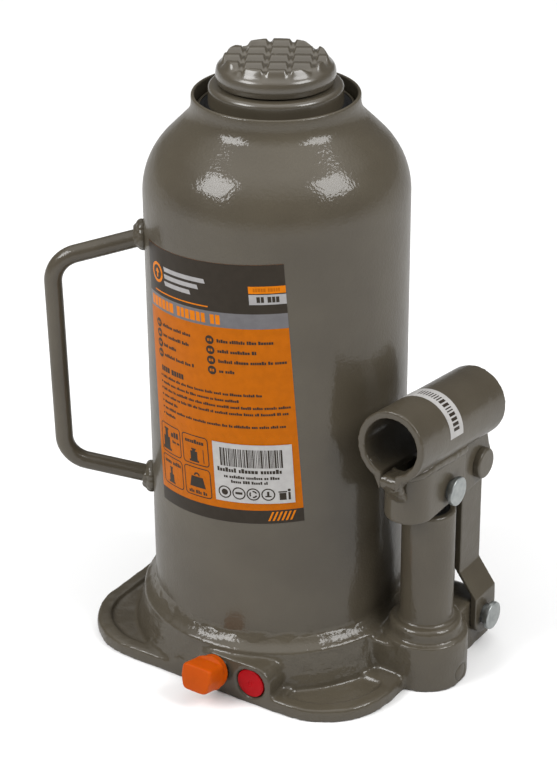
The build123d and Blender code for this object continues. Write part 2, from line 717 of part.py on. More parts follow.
# Two joggled links: back to back at the rivet, spread to a fork over the lug
JOG_TOP = 33.0
JOG_LOW = 23.0
LINK_GAP = 0.1
for name, side in (("outer_link", 1), ("inner_link", -1)):
    with BuildPart() as link:
        with BuildSketch(Plane.XZ.offset(-LINK_Y - LINK_END_R)):
            with BuildLine():
                Polyline(
                    *(
                        (PUMP_X + side * x, z)
                        for x, z in (
                            (LINK_GAP, RIVET_Z + LINK_END_R),
                            (LINK_GAP, JOG_TOP + 0.6),
                            (FORK_IN, JOG_LOW + 0.6),
                            (FORK_IN, LINK_LOW_Z - LINK_END_R),
                            (FORK_IN + LINK_THICK, LINK_LOW_Z - LINK_END_R),
                            (FORK_IN + LINK_THICK, JOG_LOW - 0.6),
                            (LINK_GAP + LINK_THICK, JOG_TOP - 0.6),
                            (LINK_GAP + LINK_THICK, RIVET_Z + LINK_END_R),
                            (LINK_GAP, RIVET_Z + LINK_END_R),
                        )
                    )
                )
            make_face()
        extrude(amount=2 * LINK_END_R)
        with BuildSketch(across_pump(LINK_Y, (RIVET_Z + LINK_LOW_Z) / 2, -20)):
            SlotCenterToCenter(RIVET_Z - LINK_LOW_Z, 2 * LINK_END_R, rotation=90)
        extrude(amount=40, mode=Mode.INTERSECT)
        for z, radius in ((RIVET_Z, PIN_R + RUN_GAP), (LINK_LOW_Z, PIN_R)):
            with BuildSketch(across_pump(LINK_Y, z, -20)):
                Circle(radius)
            extrude(amount=40, mode=Mode.SUBTRACT)
    save(link.part, name)

# Pins: each has one domed head on the outer side and a spring clip on the inner side
LOW_PIN_STAND = 11.0
TOP_PIN_STAND = 9.4
CLIP_THICK = 1.0
for name, clip_name, y, z, stand in (
    ("lower_pin", "lower_pin_clip", LINK_Y, LINK_LOW_Z, LOW_PIN_STAND),
    ("plunger_pin", "plunger_pin_clip", 0.0, PLUNGER_PIN_Z, TOP_PIN_STAND),
):
    with BuildPart() as pin:
        with BuildSketch(across_pump(y, z, -stand - 2 * CLIP_THICK)):
            Circle(PIN_R)
        extrude(amount=2 * stand + 2 * CLIP_THICK)
        with BuildSketch(across_pump(y, z, stand)):
            Circle(PIN_HEAD_R)
        extrude(amount=PIN_HEAD_THICK)
        fillet(faces().sort_by(Axis.X)[-1].edges(), 0.6)
    save(pin.part, name)
    with BuildPart() as clip:
        with BuildSketch(across_pump(y, z, -stand)):
            Circle(PIN_HEAD_R - 0.6)
            Circle(PIN_R, mode=Mode.SUBTRACT)
            with Locations((0, -PIN_HEAD_R)):
                Rectangle(3, 4, mode=Mode.SUBTRACT)
        extrude(amount=-CLIP_THICK)
    save(clip.part, clip_name)

RIVET_HEAD_R = 5.8
RIVET_HEAD_THICK = 2.7
with BuildPart() as link_rivet:
    with BuildSketch(across_pump(LINK_Y, RIVET_Z, -FLANGE_OUT)):
        Circle(PIN_R)
    extrude(amount=2 * FLANGE_OUT)
    for side in (-1, 1):
        with BuildSketch(across_pump(LINK_Y, RIVET_Z, side * FLANGE_OUT)):
            Circle(RIVET_HEAD_R)
        extrude(amount=side * RIVET_HEAD_THICK)
    fillet(
        faces().sort_by(Axis.X)[-1].edges() + faces().sort_by(Axis.X)[0].edges(),
        0.9,
    )
save(link_rivet.part, "link_rivet")

# Handle socket: a sheet rolled into a tube, its two ends turned down as flanges
FLANGE_END_R = 8.3
FLANGE_FRONT_Y = 14.5
FLANGE_LOW_Z = RIVET_Z - FLANGE_END_R
STUB_DROP = 16.2
STUB_LENGTH = 4.8
with BuildPart() as handle_socket:
    with BuildSketch(SOCKET_PLANE):
        Circle(SOCKET_R)
    extrude(amount=SOCKET_LENGTH)
    with BuildSketch(SOCKET_PLANE):
        with Locations((0, STUB_DROP / 2)):
            Rectangle(2 * FLANGE_OUT, STUB_DROP)
    extrude(amount=STUB_LENGTH)
    with BuildSketch(across_pump(0, 0, -FLANGE_OUT)):
        with Locations((LINK_Y, RIVET_Z)):
            Circle(FLANGE_END_R)
        with BuildLine():
            Polyline(
                (FLANGE_FRONT_Y, MOUTH_Z - SOCKET_R),
                (FLANGE_FRONT_Y, FLANGE_LOW_Z + 2.4),
                (FLANGE_FRONT_Y + 2.4, FLANGE_LOW_Z),
                (LINK_Y, FLANGE_LOW_Z),
                (LINK_Y + FLANGE_END_R, RIVET_Z),
                (LINK_Y + FLANGE_END_R - 5.0, MOUTH_Z - SOCKET_R),
                (FLANGE_FRONT_Y, MOUTH_Z - SOCKET_R),
            )
        make_face()
    extrude(amount=2 * FLANGE_OUT)
    with BuildSketch(SOCKET_PLANE.offset(-5)):
        Circle(SOCKET_BORE)
    extrude(amount=SOCKET_LENGTH + 10, mode=Mode.SUBTRACT)
    with BuildSketch(SOCKET_PLANE.offset(-5)):
        with Locations((0, 30)):
            Rectangle(2 * FLANGE_IN, 60)
    extrude(amount=SOCKET_LENGTH + 30, mode=Mode.SUBTRACT)
    with BuildSketch(across_pump(LINK_Y, RIVET_Z, -FLANGE_OUT)):
        Circle(PIN_R)
    extrude(amount=2 * FLANGE_OUT, mode=Mode.SUBTRACT)
save(handle_socket.part, "handle_socket")

# Yoke: a U-shaped strap welded under the tube, round the front of the plunger's eye
with BuildPart() as socket_yoke:
    with BuildSketch(Plane.XY.offset(YOKE_LOW)):
        for half, mode in ((YOKE_OUT, Mode.ADD), (YOKE_IN, Mode.SUBTRACT)):
            with Locations((PUMP_X, YOKE_BEND_Y)):
                Circle(half, mode=mode)
            with Locations((PUMP_X, (YOKE_BEND_Y + YOKE_REAR_Y) / 2)):
                Rectangle(2 * half, YOKE_REAR_Y - YOKE_BEND_Y, mode=mode)
    extrude(amount=MOUTH_Z - YOKE_LOW)
    with BuildSketch(SOCKET_PLANE.offset(-10)):
        Circle(SOCKET_R)
        with Locations((0, -SOCKET_R)):
            Rectangle(4 * SOCKET_R, 2 * SOCKET_R, mode=Mode.ADD)
    extrude(amount=SOCKET_LENGTH + 10, mode=Mode.SUBTRACT)
    with BuildSketch(across_pump(0, PLUNGER_PIN_Z, -20)):
        Circle(PIN_R)
    extrude(amount=40, mode=Mode.SUBTRACT)
save(socket_yoke.part, "socket_yoke")

# Weld beads along the yoke's two sides, and at the foot of the socket's mouth
BEAD_R = 1.9
BEAD_LENGTH = 22.0
BEAD_DROP = sqrt(SOCKET_R**2 - YOKE_OUT**2)
with BuildPart() as socket_welds:
    with BuildSketch(SOCKET_PLANE.offset(MOUTH_Y * -1 - 14)):
        for side in (-1, 1):
            with Locations((side * YOKE_OUT, BEAD_DROP)):
                Circle(BEAD_R)
    extrude(amount=BEAD_LENGTH)
    with BuildSketch(SOCKET_PLANE):
        Circle(SOCKET_R)
    extrude(amount=SOCKET_LENGTH, mode=Mode.SUBTRACT)
    add(socket_yoke.part, mode=Mode.SUBTRACT)
save(socket_welds.part, "socket_welds")

# Paper band round the upper part of the socket
BAND_LOW = 19.0
BAND_WIDTH = 9.0
BAND_THICK = 0.15
with BuildPart() as socket_sticker:
    with BuildSketch(SOCKET_PLANE.offset(BAND_LOW)):
        Circle(SOCKET_R + BAND_THICK)
        Circle(SOCKET_R, mode=Mode.SUBTRACT)
        with Locations((0, -SOCKET_R - 1)):
            Rectangle(4 * SOCKET_R, 2 * SOCKET_R + 6, mode=Mode.INTERSECT)
    extrude(amount=BAND_WIDTH)
save(socket_sticker.part, "socket_sticker")

# Release valve: ball, screw, O-ring, and the plastic cap on the screw's tab
RELEASE_TIP = RELEASE_BALL_DEPTH - RELEASE_BALL_R
CAP_LENGTH = 14.0
TAB_LENGTH = 11.0
TAB_WIDTH = 8.0
TAB_THICK = 5.0
O_RING_DEPTH = 6.0
COLLAR_LENGTH = 1.6
with BuildPart() as release_ball:
    with Locations(VALVE_PLANE.offset(-RELEASE_BALL_DEPTH)):
        Sphere(RELEASE_BALL_R)
save(release_ball.part, "release_ball")

with BuildPart() as release_screw:
    with BuildSketch(VALVE_PLANE.offset(-RELEASE_TIP)):
        Circle(2.2)
    extrude(amount=RELEASE_TIP)
    with BuildSketch(VALVE_PLANE.offset(-RELEASE_TIP + 1.2)):
        Circle(VALVE_R)
    extrude(amount=RELEASE_TIP - 1.2 + COLLAR_LENGTH)
    with BuildSketch(VALVE_PLANE.offset(-O_RING_DEPTH)):
        Circle(VALVE_R + 1)
        Circle(VALVE_R - 1.3, mode=Mode.SUBTRACT)
    extrude(amount=2.0, mode=Mode.SUBTRACT)
    with BuildSketch(VALVE_PLANE.offset(COLLAR_LENGTH)):
        Rectangle(TAB_WIDTH, TAB_THICK)
    extrude(amount=TAB_LENGTH - COLLAR_LENGTH)
save(release_screw.part, "release_screw")

with BuildPart() as release_o_ring:
    with BuildSketch(VALVE_PLANE.offset(-O_RING_DEPTH)):
        Circle(VALVE_R + RUN_GAP - 0.02)
        Circle(VALVE_R - 1.3, mode=Mode.SUBTRACT)
    extrude(amount=2.0)
save(release_o_ring.part, "release_o_ring")

with BuildPart() as release_cap:
    with BuildSketch(VALVE_PLANE.offset(2.1)):
        Circle(6.4)
    with BuildSketch(VALVE_PLANE.offset(6.2)):
        Circle(6.2)
    loft()
    with BuildSketch(VALVE_PLANE.offset(4.0)):
        RectangleRounded(12.0, 11.0, 2.6)
    extrude(amount=CAP_LENGTH - 4.0)
    chamfer(faces().sort_by(Axis.Y)[0].edges(), 0.8)
    with BuildSketch(VALVE_PLANE):
        Rectangle(TAB_WIDTH, TAB_THICK)
    extrude(amount=TAB_LENGTH, mode=Mode.SUBTRACT)
save(release_cap.part, "release_cap")
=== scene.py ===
import random
from math import ceil, copysign, cos, pi, radians, sin, sqrt, tan

import bmesh
import bpy
from mathutils import Matrix, Vector, noise


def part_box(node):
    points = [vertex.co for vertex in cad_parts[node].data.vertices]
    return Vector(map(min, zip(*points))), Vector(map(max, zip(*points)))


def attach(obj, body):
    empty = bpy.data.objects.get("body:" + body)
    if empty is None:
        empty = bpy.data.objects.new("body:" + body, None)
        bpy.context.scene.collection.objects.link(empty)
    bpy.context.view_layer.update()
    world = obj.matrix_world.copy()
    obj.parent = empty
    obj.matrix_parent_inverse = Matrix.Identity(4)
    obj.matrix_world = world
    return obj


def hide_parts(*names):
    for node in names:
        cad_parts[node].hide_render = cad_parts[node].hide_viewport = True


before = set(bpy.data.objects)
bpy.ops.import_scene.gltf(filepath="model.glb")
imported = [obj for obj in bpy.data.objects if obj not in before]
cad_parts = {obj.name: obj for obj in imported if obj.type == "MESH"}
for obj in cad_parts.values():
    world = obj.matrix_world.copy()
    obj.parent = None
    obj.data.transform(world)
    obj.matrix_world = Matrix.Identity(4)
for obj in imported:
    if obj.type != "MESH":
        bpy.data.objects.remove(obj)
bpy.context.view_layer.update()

# All lengths are in metres, in the CAD model's frame: +Z up along the ram's axis, +X towards
# the pump, and the release valve on the -Y side.
MM = 0.001
TURN = 2 * pi
RIGHT = Vector((1, 0, 0))
UP = Vector((0, 0, 1))


def box_size(node):
    low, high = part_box(node)
    return Vector(high) - Vector(low)


def box_centre(node):
    low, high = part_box(node)
    return (Vector(low) + Vector(high)) / 2


def fill(tree, node, values):
    """Sets a shader node's inputs; a value may be another node's output."""
    for key, value in values.items():
        socket = node.inputs[key.replace("_", " ")]
        if isinstance(value, bpy.types.NodeSocket):
            tree.links.new(value, socket)
        else:
            socket.default_value = value


def add_node(tree, kind, **values):
    node = tree.nodes.new("ShaderNode" + kind)
    fill(tree, node, values)
    return node


def added(name, data):
    """A new object, linked to the scene."""
    thing = bpy.data.objects.new(name, data)
    bpy.context.scene.collection.objects.link(thing)
    return thing


# Sizes read from the CAD model
TANK_R = box_size("reservoir_tank").x / 2
TANK_LOW, TANK_TOP = (corner[2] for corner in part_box("reservoir_tank"))
NECK_BORE_R = box_size("gland_nut").x / 2 + 0.3 * MM
PUMP_AXIS = box_centre("pump_cylinder")
PUMP_R = box_size("pump_cylinder").x / 2
RAM_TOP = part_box("ram")[1][2]
SCREW_LOW, SADDLE_TOP = (corner[2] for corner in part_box("extension_screw"))
SADDLE_R = box_size("extension_screw").x / 2


# ---- camera, light and floor

AZIMUTH = radians(33.63)
ELEVATION = radians(26.95)
ROLL = radians(-0.49)
VIEW_DISTANCE = 811.5 * MM
VIEW_HEIGHT = 101.3 * MM
LENS = 104.13
WORLD_LOW = 0.15
WORLD_HIGH = 1.95
WORLD_SEEN = 0.75


def direction(azimuth, elevation):
    """A unit vector; azimuth 0 looks from -Y, as the camera's views do."""
    flat = cos(elevation)
    return Vector((sin(azimuth) * flat, -cos(azimuth) * flat, sin(elevation)))


def add_camera():
    back = direction(AZIMUTH, ELEVATION)
    right = Vector((cos(AZIMUTH), sin(AZIMUTH), 0))
    up = back.cross(right)
    rolled_right = right * cos(ROLL) + up * sin(ROLL)
    rolled_up = up * cos(ROLL) - right * sin(ROLL)
    data = bpy.data.cameras.new("camera")
    data.lens = LENS
    data.sensor_width = 36.0
    data.clip_start = 0.01
    camera = added("camera", data)
    turn = Matrix((rolled_right, rolled_up, back)).transposed().to_4x4()
    place = UP * VIEW_HEIGHT + back * VIEW_DISTANCE
    camera.matrix_world = Matrix.Translation(place) @ turn
    bpy.context.scene.camera = camera


def add_softbox(name, azimuth, elevation, distance, width, height, power):
    """A rectangular lamp that faces the tank's shoulder."""
    target = UP * 0.16
    data = bpy.data.lights.new(name, "AREA")
    data.shape = "RECTANGLE"
    data.size = width
    data.size_y = height
    data.energy = power
    lamp = added(name, data)
    away = direction(radians(azimuth), radians(elevation))
    lamp.location = target + away * distance
    lamp.rotation_euler = away.to_track_quat("Z", "Y").to_euler()


def add_sky():
    """White light from overhead that fades lower down; the camera sees an even, pale sky."""
    world = bpy.data.worlds.new("studio")
    world.use_nodes = True
    tree = world.node_tree
    sight = add_node(tree, "TexCoord").outputs["Generated"]
    upward = add_node(tree, "SeparateXYZ", Vector=sight).outputs["Z"]
    fade = add_node(
        tree, "MapRange", Value=upward, From_Min=0.5, From_Max=1.0, To_Min=WORLD_LOW, To_Max=WORLD_HIGH
    )
    seen = add_node(tree, "LightPath").outputs["Is Camera Ray"]
    strength = add_node(tree, "Mix", Factor=seen, A=fade.outputs["Result"], B=WORLD_SEEN)
    values = {"Color": (1.0, 1.0, 1.0, 1.0), "Strength": strength.outputs["Result"]}
    fill(tree, tree.nodes["Background"], values)
    bpy.context.scene.world = world


def add_floor():
    """A wide, plain, pale floor."""
    mesh = bpy.data.meshes.new("floor")
    half = 25.0
    corners = [(-half, -half, 0), (half, -half, 0), (half, half, 0), (-half, half, 0)]
    mesh.from_pydata(corners, [], [(0, 1, 2, 3)])
    floor = added("floor", mesh)
    material = bpy.data.materials.new("floor_paper")
    material.use_nodes = True
    tree = material.node_tree
    values = {"Base Color": (0.82, 0.82, 0.82, 1.0), "Roughness": 0.85}
    fill(tree, tree.nodes["Principled BSDF"], values)
    mesh.materials.append(material)


bpy.context.scene.view_settings.view_transform = "Standard"
add_camera()
add_softbox("softbox_left", -30, 38, 1.3, 0.6, 0.56, 13)
add_softbox("softbox_right", 94, 40, 1.3, 0.62, 0.56, 11.5)
add_sky()
add_floor()


# ---- materials


class Shader:
    """One node material, whose textures are fixed to the piece."""

    def __init__(self, name):
        self.material = bpy.data.materials.new(name)
        self.material.use_nodes = True
        self.tree = self.material.node_tree
        self.coords = self.node("TexCoord").outputs["Object"]

    def node(self, kind, **values):
        return add_node(self.tree, kind, **values)

    def finished(self, **values):
        """The material, once the surface's own inputs are filled."""
        fill(self.tree, self.tree.nodes["Principled BSDF"], values)
        return self.material

    def noise(self, scale, detail, rough=0.5):
        node = self.node("TexNoise", Vector=self.coords, Scale=scale, Detail=detail, Roughness=rough)
        return node.outputs["Fac"]

    def tone(self, noise, dark, light, start=0.3, end=0.7):
        """A colour that goes from dark to light between two values of a noise."""
        node = self.node("ValToRGB", Fac=self.noise(*noise))
        for mark, place, colour in zip(node.color_ramp.elements, (start, end), (dark, light)):
            mark.position = place
            mark.color = (*colour, 1.0)
        return node.outputs["Color"]

    def between(self, low, high, factor):
        return self.node("MapRange", Value=factor, To_Min=low, To_Max=high).outputs["Result"]

    def sheen(self, scale, detail, low, high):
        """A roughness that drifts between two values."""
        return self.between(low, high, self.noise(scale, detail))

    def above(self, level, fade):
        """0 below a height, 1 above it."""
        height = self.node("SeparateXYZ", Vector=self.coords).outputs["Z"]
        node = self.node("MapRange", Value=height, From_Min=level - fade, From_Max=level + fade)
        return node.outputs["Result"]

    def mix(self, factor, first, second):
        """Two colours mixed; a Mix node's colour sockets come after its number and vector ones."""
        node = self.node("Mix", Factor=factor)
        node.data_type = "RGBA"
        self.tree.links.new(first, node.inputs[6])
        self.tree.links.new(second, node.inputs[7])
        return node.outputs[2]

    def bump(self, scale, detail, depth, **under):
        """A normal bumped by a noise, on top of another one where Normal is given."""
        height = self.noise(scale, detail)
        return self.node("Bump", Height=height, Strength=1.0, Distance=depth, **under).outputs["Normal"]


ENAMEL_DARK = (0.054, 0.0446, 0.0305)
ENAMEL_LIGHT = (0.069, 0.0582, 0.0405)


def enamel_colour(shader):
    """Warm grey with a faint drift in tone."""
    return shader.tone((28.0, 3.0), ENAMEL_DARK, ENAMEL_LIGHT, 0.35, 0.68)


def enamel(name, peel_depth, lump_depth=0.0):
    """Glossy grey enamel with orange peel in two sizes, and cast or welded lumps where asked."""
    shader = Shader(name)
    normal = shader.bump(1000.0, 1.0, peel_depth)
    normal = shader.bump(420.0, 1.5, peel_depth * 0.8, Normal=normal)
    if lump_depth:
        normal = shader.bump(150.0, 2.0, lump_depth, Normal=normal)
    return shader.finished(
        Base_Color=enamel_colour(shader),
        Roughness=shader.sheen(190.0, 2.0, 0.42, 0.54),
        IOR=1.2,
        Normal=normal,
        Coat_Weight=0.25,
        Coat_IOR=1.9,
        Coat_Roughness=0.11,
        Coat_Normal=normal,
    )


def part_painted(name, level):
    """Bare ground steel below a level, enamel above it, as on a piece painted in place."""
    shader = Shader(name)
    painted = shader.above(level, 0.15 * MM)
    steel = shader.tone((60.0, 4.0), (0.36, 0.35, 0.34), (0.52, 0.51, 0.50))
    return shader.finished(
        Base_Color=shader.mix(painted, steel, enamel_colour(shader)),
        Metallic=shader.between(1.0, 0.0, painted),
        Roughness=shader.sheen(260.0, 3.0, 0.24, 0.38),
        Normal=shader.bump(620.0, 1.0, 0.02 * MM),
        Coat_Weight=0.35,
        Coat_Roughness=0.1,
    )


def zinc(name):
    """Bright zinc plating with a faint grain."""
    shader = Shader(name)
    return shader.finished(
        Base_Color=shader.tone((420.0, 4.0, 0.6), (0.21, 0.225, 0.22), (0.32, 0.335, 0.33)),
        Metallic=0.85,
        Roughness=shader.sheen(300.0, 3.0, 0.26, 0.46),
        Normal=shader.bump(900.0, 2.0, 0.02 * MM),
    )


def dimmed(colour, factor):
    return tuple(channel * factor for channel in colour)


def bare_metal(name, bright):
    """Ground or turned bare metal with a slight drift in tone."""
    shader = Shader(name)
    return shader.finished(
        Base_Color=shader.tone((90.0, 4.0), dimmed(bright, 0.7), bright),
        Metallic=1.0,
        Roughness=shader.sheen(400.0, 3.0, 0.2, 0.4),
        Normal=shader.bump(1200.0, 2.0, 0.01 * MM),
    )


def plastic(name, colour, roughness, glow=0.0):
    """Moulded plastic or rubber: a nearly even colour, a soft sheen, a fine grain and, where
    asked, light that scatters just below the surface."""
    shader = Shader(name)
    return shader.finished(
        Base_Color=shader.tone((120.0, 3.0), dimmed(colour, 0.86), colour, 0.3, 0.65),
        Roughness=shader.sheen(500.0, 2.0, roughness - 0.06, roughness + 0.08),
        IOR=1.2,
        Normal=shader.bump(900.0, 2.0, 0.02 * MM),
        Subsurface_Weight=glow,
        Subsurface_Scale=2 * MM,
    )


def print_ink(name, colour, roughness):
    """A printed colour on film or paper, with slight unevenness."""
    shader = Shader(name)
    return shader.finished(
        Base_Color=shader.tone((350.0, 3.0), dimmed(colour, 0.9), colour, 0.35, 0.65),
        Roughness=shader.sheen(60.0, 2.0, roughness - 0.05, roughness + 0.05),
        IOR=1.16,
        Normal=shader.bump(45.0, 2.0, 0.05 * MM),
    )


ENAMEL = enamel("enamel_sheet", 0.07 * MM)
ENAMEL_CAST = enamel("enamel_cast", 0.09 * MM, 0.16 * MM)
ENAMEL_WELD = enamel("enamel_weld", 0.09 * MM, 0.22 * MM)
PAINTED_RAM = part_painted("enamel_ram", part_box("gland_nut")[1][2] + 0.5 * MM)
PAINTED_SCREW = part_painted("enamel_screw", RAM_TOP + 0.2 * MM)
PAINTED_PLUNGER = part_painted("enamel_plunger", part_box("pump_cylinder")[1][2] + 0.3 * MM)
ZINC = zinc("zinc_plate")
STEEL = bare_metal("ground_steel", (0.50, 0.495, 0.485))
BALL_STEEL = bare_metal("ball_steel", (0.75, 0.742, 0.728))
RUBBER = plastic("black_rubber", (0.018, 0.018, 0.018), 0.55)
SOFT_SEAL = plastic("nitrile_seal", (0.022, 0.022, 0.024), 0.48)
GUIDE = plastic("guide_ring_plastic", (0.55, 0.50, 0.38), 0.45)
COPPER = bare_metal("washer_copper", (0.72, 0.36, 0.22))
RED = plastic("red_plastic", (0.33, 0.0006, 0.004), 0.44, glow=0.1)
ORANGE = plastic("orange_plastic", (0.41, 0.060, 0.0004), 0.48, glow=0.15)
FILM_ORANGE = print_ink("film_orange", (0.39, 0.098, 0.0004), 0.40)
INK_ORANGE = print_ink("ink_orange", (0.56, 0.155, 0.002), 0.40)
INK_TREAD = print_ink("ink_dull_orange", (0.37, 0.098, 0.001), 0.42)
INK_BLACK = print_ink("ink_black", (0.030, 0.024, 0.018), 0.34)
INK_GREY = print_ink("ink_grey", (0.13, 0.125, 0.13), 0.34)
INK_LIGHT = print_ink("ink_light_grey", (0.31, 0.30, 0.30), 0.34)
PAPER = print_ink("white_paper", (0.38, 0.37, 0.36), 0.45)


# ---- mesh building


def shown(name, mesh, material, body, replaces=(), angle=40.0):
    """Finishes a mesh as a piece: its material, its shading and the body it rides on."""
    mesh.name = name
    mesh.materials.clear()
    mesh.materials.append(material)
    mesh.validate()
    build = bmesh.new()
    build.from_mesh(mesh)
    bmesh.ops.remove_doubles(build, verts=build.verts, dist=1e-7)
    bmesh.ops.recalc_face_normals(build, faces=build.faces)
    build.to_mesh(mesh)
    build.free()
    mesh.shade_smooth()
    mesh.set_sharp_from_angle(angle=radians(angle))
    piece = added(name, mesh)
    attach(piece, body)
    if replaces:
        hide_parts(*replaces)


def mesh_of(vertices, faces):
    mesh = bpy.data.meshes.new("shape")
    mesh.from_pydata([tuple(v) for v in vertices], [], faces)
    return mesh


def baked(build):
    """A mesh from a bmesh, which is then freed."""
    mesh = bpy.data.meshes.new("shape")
    build.to_mesh(mesh)
    build.free()
    return mesh


def stacked(rings):
    """A closed skin over a stack of rings of points, with flat ends."""
    count = len(rings[0])
    vertices = [point for ring in rings for point in ring]
    faces = [tuple(range(count)), tuple(range(len(vertices) - count, len(vertices)))]
    for row in range(len(rings) - 1):
        a, b = row * count, (row + 1) * count
        for k in range(count):
            after = (k + 1) % count
            faces.append((a + k, a + after, b + after, b + k))
    return mesh_of(vertices, faces)


def arc_points(centre, radius, start, end, count):
    """Points of an arc in a half-section, angles in degrees."""
    points = []
    for k in range(count + 1):
        angle = radians(start + (end - start) * k / count)
        points.append((centre[0] + radius * cos(angle), centre[1] + radius * sin(angle)))
    return points


def rounded(outline, radii, count):
    """An open outline with its inner corners rounded; radii match the corners."""
    points = [Vector(outline[0])]
    for k in range(1, len(outline) - 1):
        before, corner, after = (Vector(outline[k + step]) for step in (-1, 0, 1))
        radius = radii[k - 1]
        to_before = (before - corner).normalized()
        to_after = (after - corner).normalized()
        half = to_before.angle(to_after) / 2
        if radius <= 0 or half > radians(89):
            points.append(corner)
            continue
        reach = radius / tan(half)
        middle = corner + (to_before + to_after).normalized() * radius / sin(half)
        first = corner + to_before * reach - middle
        last = corner + to_after * reach - middle
        for step in range(count + 1):
            blend = first.lerp(last, step / count)
            points.append(middle + blend.normalized() * radius)
    points.append(Vector(outline[-1]))
    return [(p.x, p.y) for p in points]


UPRIGHT = (RIGHT, Vector((0, 1, 0)), UP)


def axes_along(z_axis):
    """A right-handed frame whose third axis is the given one, which isn't upright."""
    z_axis = z_axis.normalized()
    x_axis = UP.cross(z_axis).normalized()
    return x_axis, z_axis.cross(x_axis), z_axis


def lathe(outline, segments, centre=(0, 0, 0), axes=UPRIGHT, wobble=None):
    """A closed body of revolution.

    outline runs as (radius, height); its ends lie on the axis, or it closes on itself.
    wobble(angle, radius, height) may return a changed (radius, height).
    """
    x_axis, y_axis, z_axis = axes
    origin = Vector(centre)
    open_ends = outline[0][0] < 1e-9 and outline[-1][0] < 1e-9
    ring = outline[1:-1] if open_ends else outline
    vertices = []
    for k in range(segments):
        angle = TURN * k / segments
        for radius, height in ring:
            if wobble:
                radius, height = wobble(angle, radius, height)
            spoke = x_axis * cos(angle) + y_axis * sin(angle)
            vertices.append(origin + spoke * radius + z_axis * height)
    faces = []
    rows = len(ring)
    for k in range(segments):
        a, b = k * rows, (k + 1) % segments * rows
        for row in range(rows - 1):
            faces.append((a + row, b + row, b + row + 1, a + row + 1))
        if not open_ends:
            faces.append((a + rows - 1, b + rows - 1, b, a))
    if open_ends:
        for end, row in ((outline[0], 0), (outline[-1], rows - 1)):
            vertices.append(origin + z_axis * end[1])
            hub = len(vertices) - 1
            for k in range(segments):
                faces.append((hub, k * rows + row, (k + 1) % segments * rows + row))
    return mesh_of(vertices, faces)


def tube(points, radius):
    """A round rod along a path that stays in one upright plane, with flat ends."""
    segments = 32
    side = (points[1] - points[0]).cross(points[-1] - points[0]).normalized()
    rings = []
    for k, point in enumerate(points):
        before, after = points[max(k - 1, 0)], points[min(k + 1, len(points) - 1)]
        lift = side.cross((after - before).normalized())
        angles = [TURN * step / segments for step in range(segments)]
        rings.append([point + (side * cos(a) + lift * sin(a)) * radius for a in angles])
    return stacked(rings)


def lumps(place, size, depth):
    """Smooth unevenness at a place, the same on each run."""
    return noise.noise(Vector(place) / size) * depth


def cad_copy(node):
    """A new mesh with a CAD node's shape, its doubled vertices joined."""
    build = bmesh.new()
    build.from_mesh(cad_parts[node].data)
    bmesh.ops.remove_doubles(build, verts=build.verts, dist=1e-6)
    return baked(build)


def applied(mesh, *settings):
    """The mesh after a list of modifiers, each (kind, {property: value})."""
    carrier = added("carrier", mesh)
    for kind, values in settings:
        modifier = carrier.modifiers.new(kind, kind)
        for key, value in values.items():
            setattr(modifier, key, value)
    graph = bpy.context.evaluated_depsgraph_get()
    result = bpy.data.meshes.new_from_object(carrier.evaluated_get(graph))
    bpy.data.objects.remove(carrier)
    return result


def flowed(mesh, grain, passes):
    """The shape in an even skin, its corners run soft as under thick paint."""
    return applied(
        mesh,
        ("REMESH", {"mode": "VOXEL", "voxel_size": grain}),
        ("SMOOTH", {"factor": 0.5, "iterations": passes}),
    )


def uneven(mesh, layers, box):
    """Pushes the surface in and out by noise, within a box; each layer is a (size, depth)."""
    count = len(mesh.vertices)
    places = [0.0] * (3 * count)
    normals = [0.0] * (3 * count)
    mesh.vertices.foreach_get("co", places)
    mesh.vertices.foreach_get("normal", normals)
    low, high = box
    for k in range(0, 3 * count, 3):
        place = Vector(places[k : k + 3])
        push = sum(lumps(place, size, depth) for size, depth in layers)
        for axis in range(3):
            moved = places[k + axis] + normals[k + axis] * push
            places[k + axis] = min(max(moved, low[axis]), high[axis])
    mesh.vertices.foreach_set("co", places)
    mesh.update()


def soften(node, name, width, material, body):
    """A CAD node's shape with its sharp edges rolled over, as on turned or stamped pieces."""
    settings = {
        "width": width,
        "segments": 3,
        "limit_method": "ANGLE",
        "angle_limit": radians(35.0),
        "use_clamp_overlap": True,
    }
    mesh = applied(cad_copy(node), ("BEVEL", settings))
    shown(name, mesh, material, body, [node])


def painted_soft(node, name, grain, passes, material, body, layers=()):
    """A CAD node's shape under thick enamel."""
    mesh = flowed(cad_copy(node), grain, passes)
    if layers:
        uneven(mesh, layers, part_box(node))
    shown(name, mesh, material, body, [node], angle=60.0)


def weld(name, beads, body, replaces=(), passes=5, scatter=0.12):
    """A welded seam: overlapping drops, each a (place, radius), run together under paint."""
    source = random.Random(name)
    build = bmesh.new()
    for place, radius in beads:
        size = radius * source.uniform(1 - scatter, 1 + scatter)
        jitter = Vector([source.uniform(-scatter, scatter) * radius for axis in range(3)])
        bmesh.ops.create_icosphere(
            build, subdivisions=2, radius=size, matrix=Matrix.Translation(place + jitter)
        )
    mesh = flowed(baked(build), 0.4 * MM, passes)
    shown(name, mesh, ENAMEL_WELD, body, replaces, angle=60.0)


# ---- tank and base

TANK_WALL = 2.5 * MM
SHOULDER_ARC = 28.0 * MM
SHOULDER_Z = TANK_TOP - 35.7 * MM
NECK_R = NECK_BORE_R + 1.3 * MM
NECK_BLEND = 9.0 * MM
WELD_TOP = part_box("tank_base_weld")[1][2]
WELD_R = box_size("tank_base_weld").x / 2
# Inside the tank's wall, where a seam's edge isn't seen
HIDDEN_R = TANK_R - 0.4 * MM


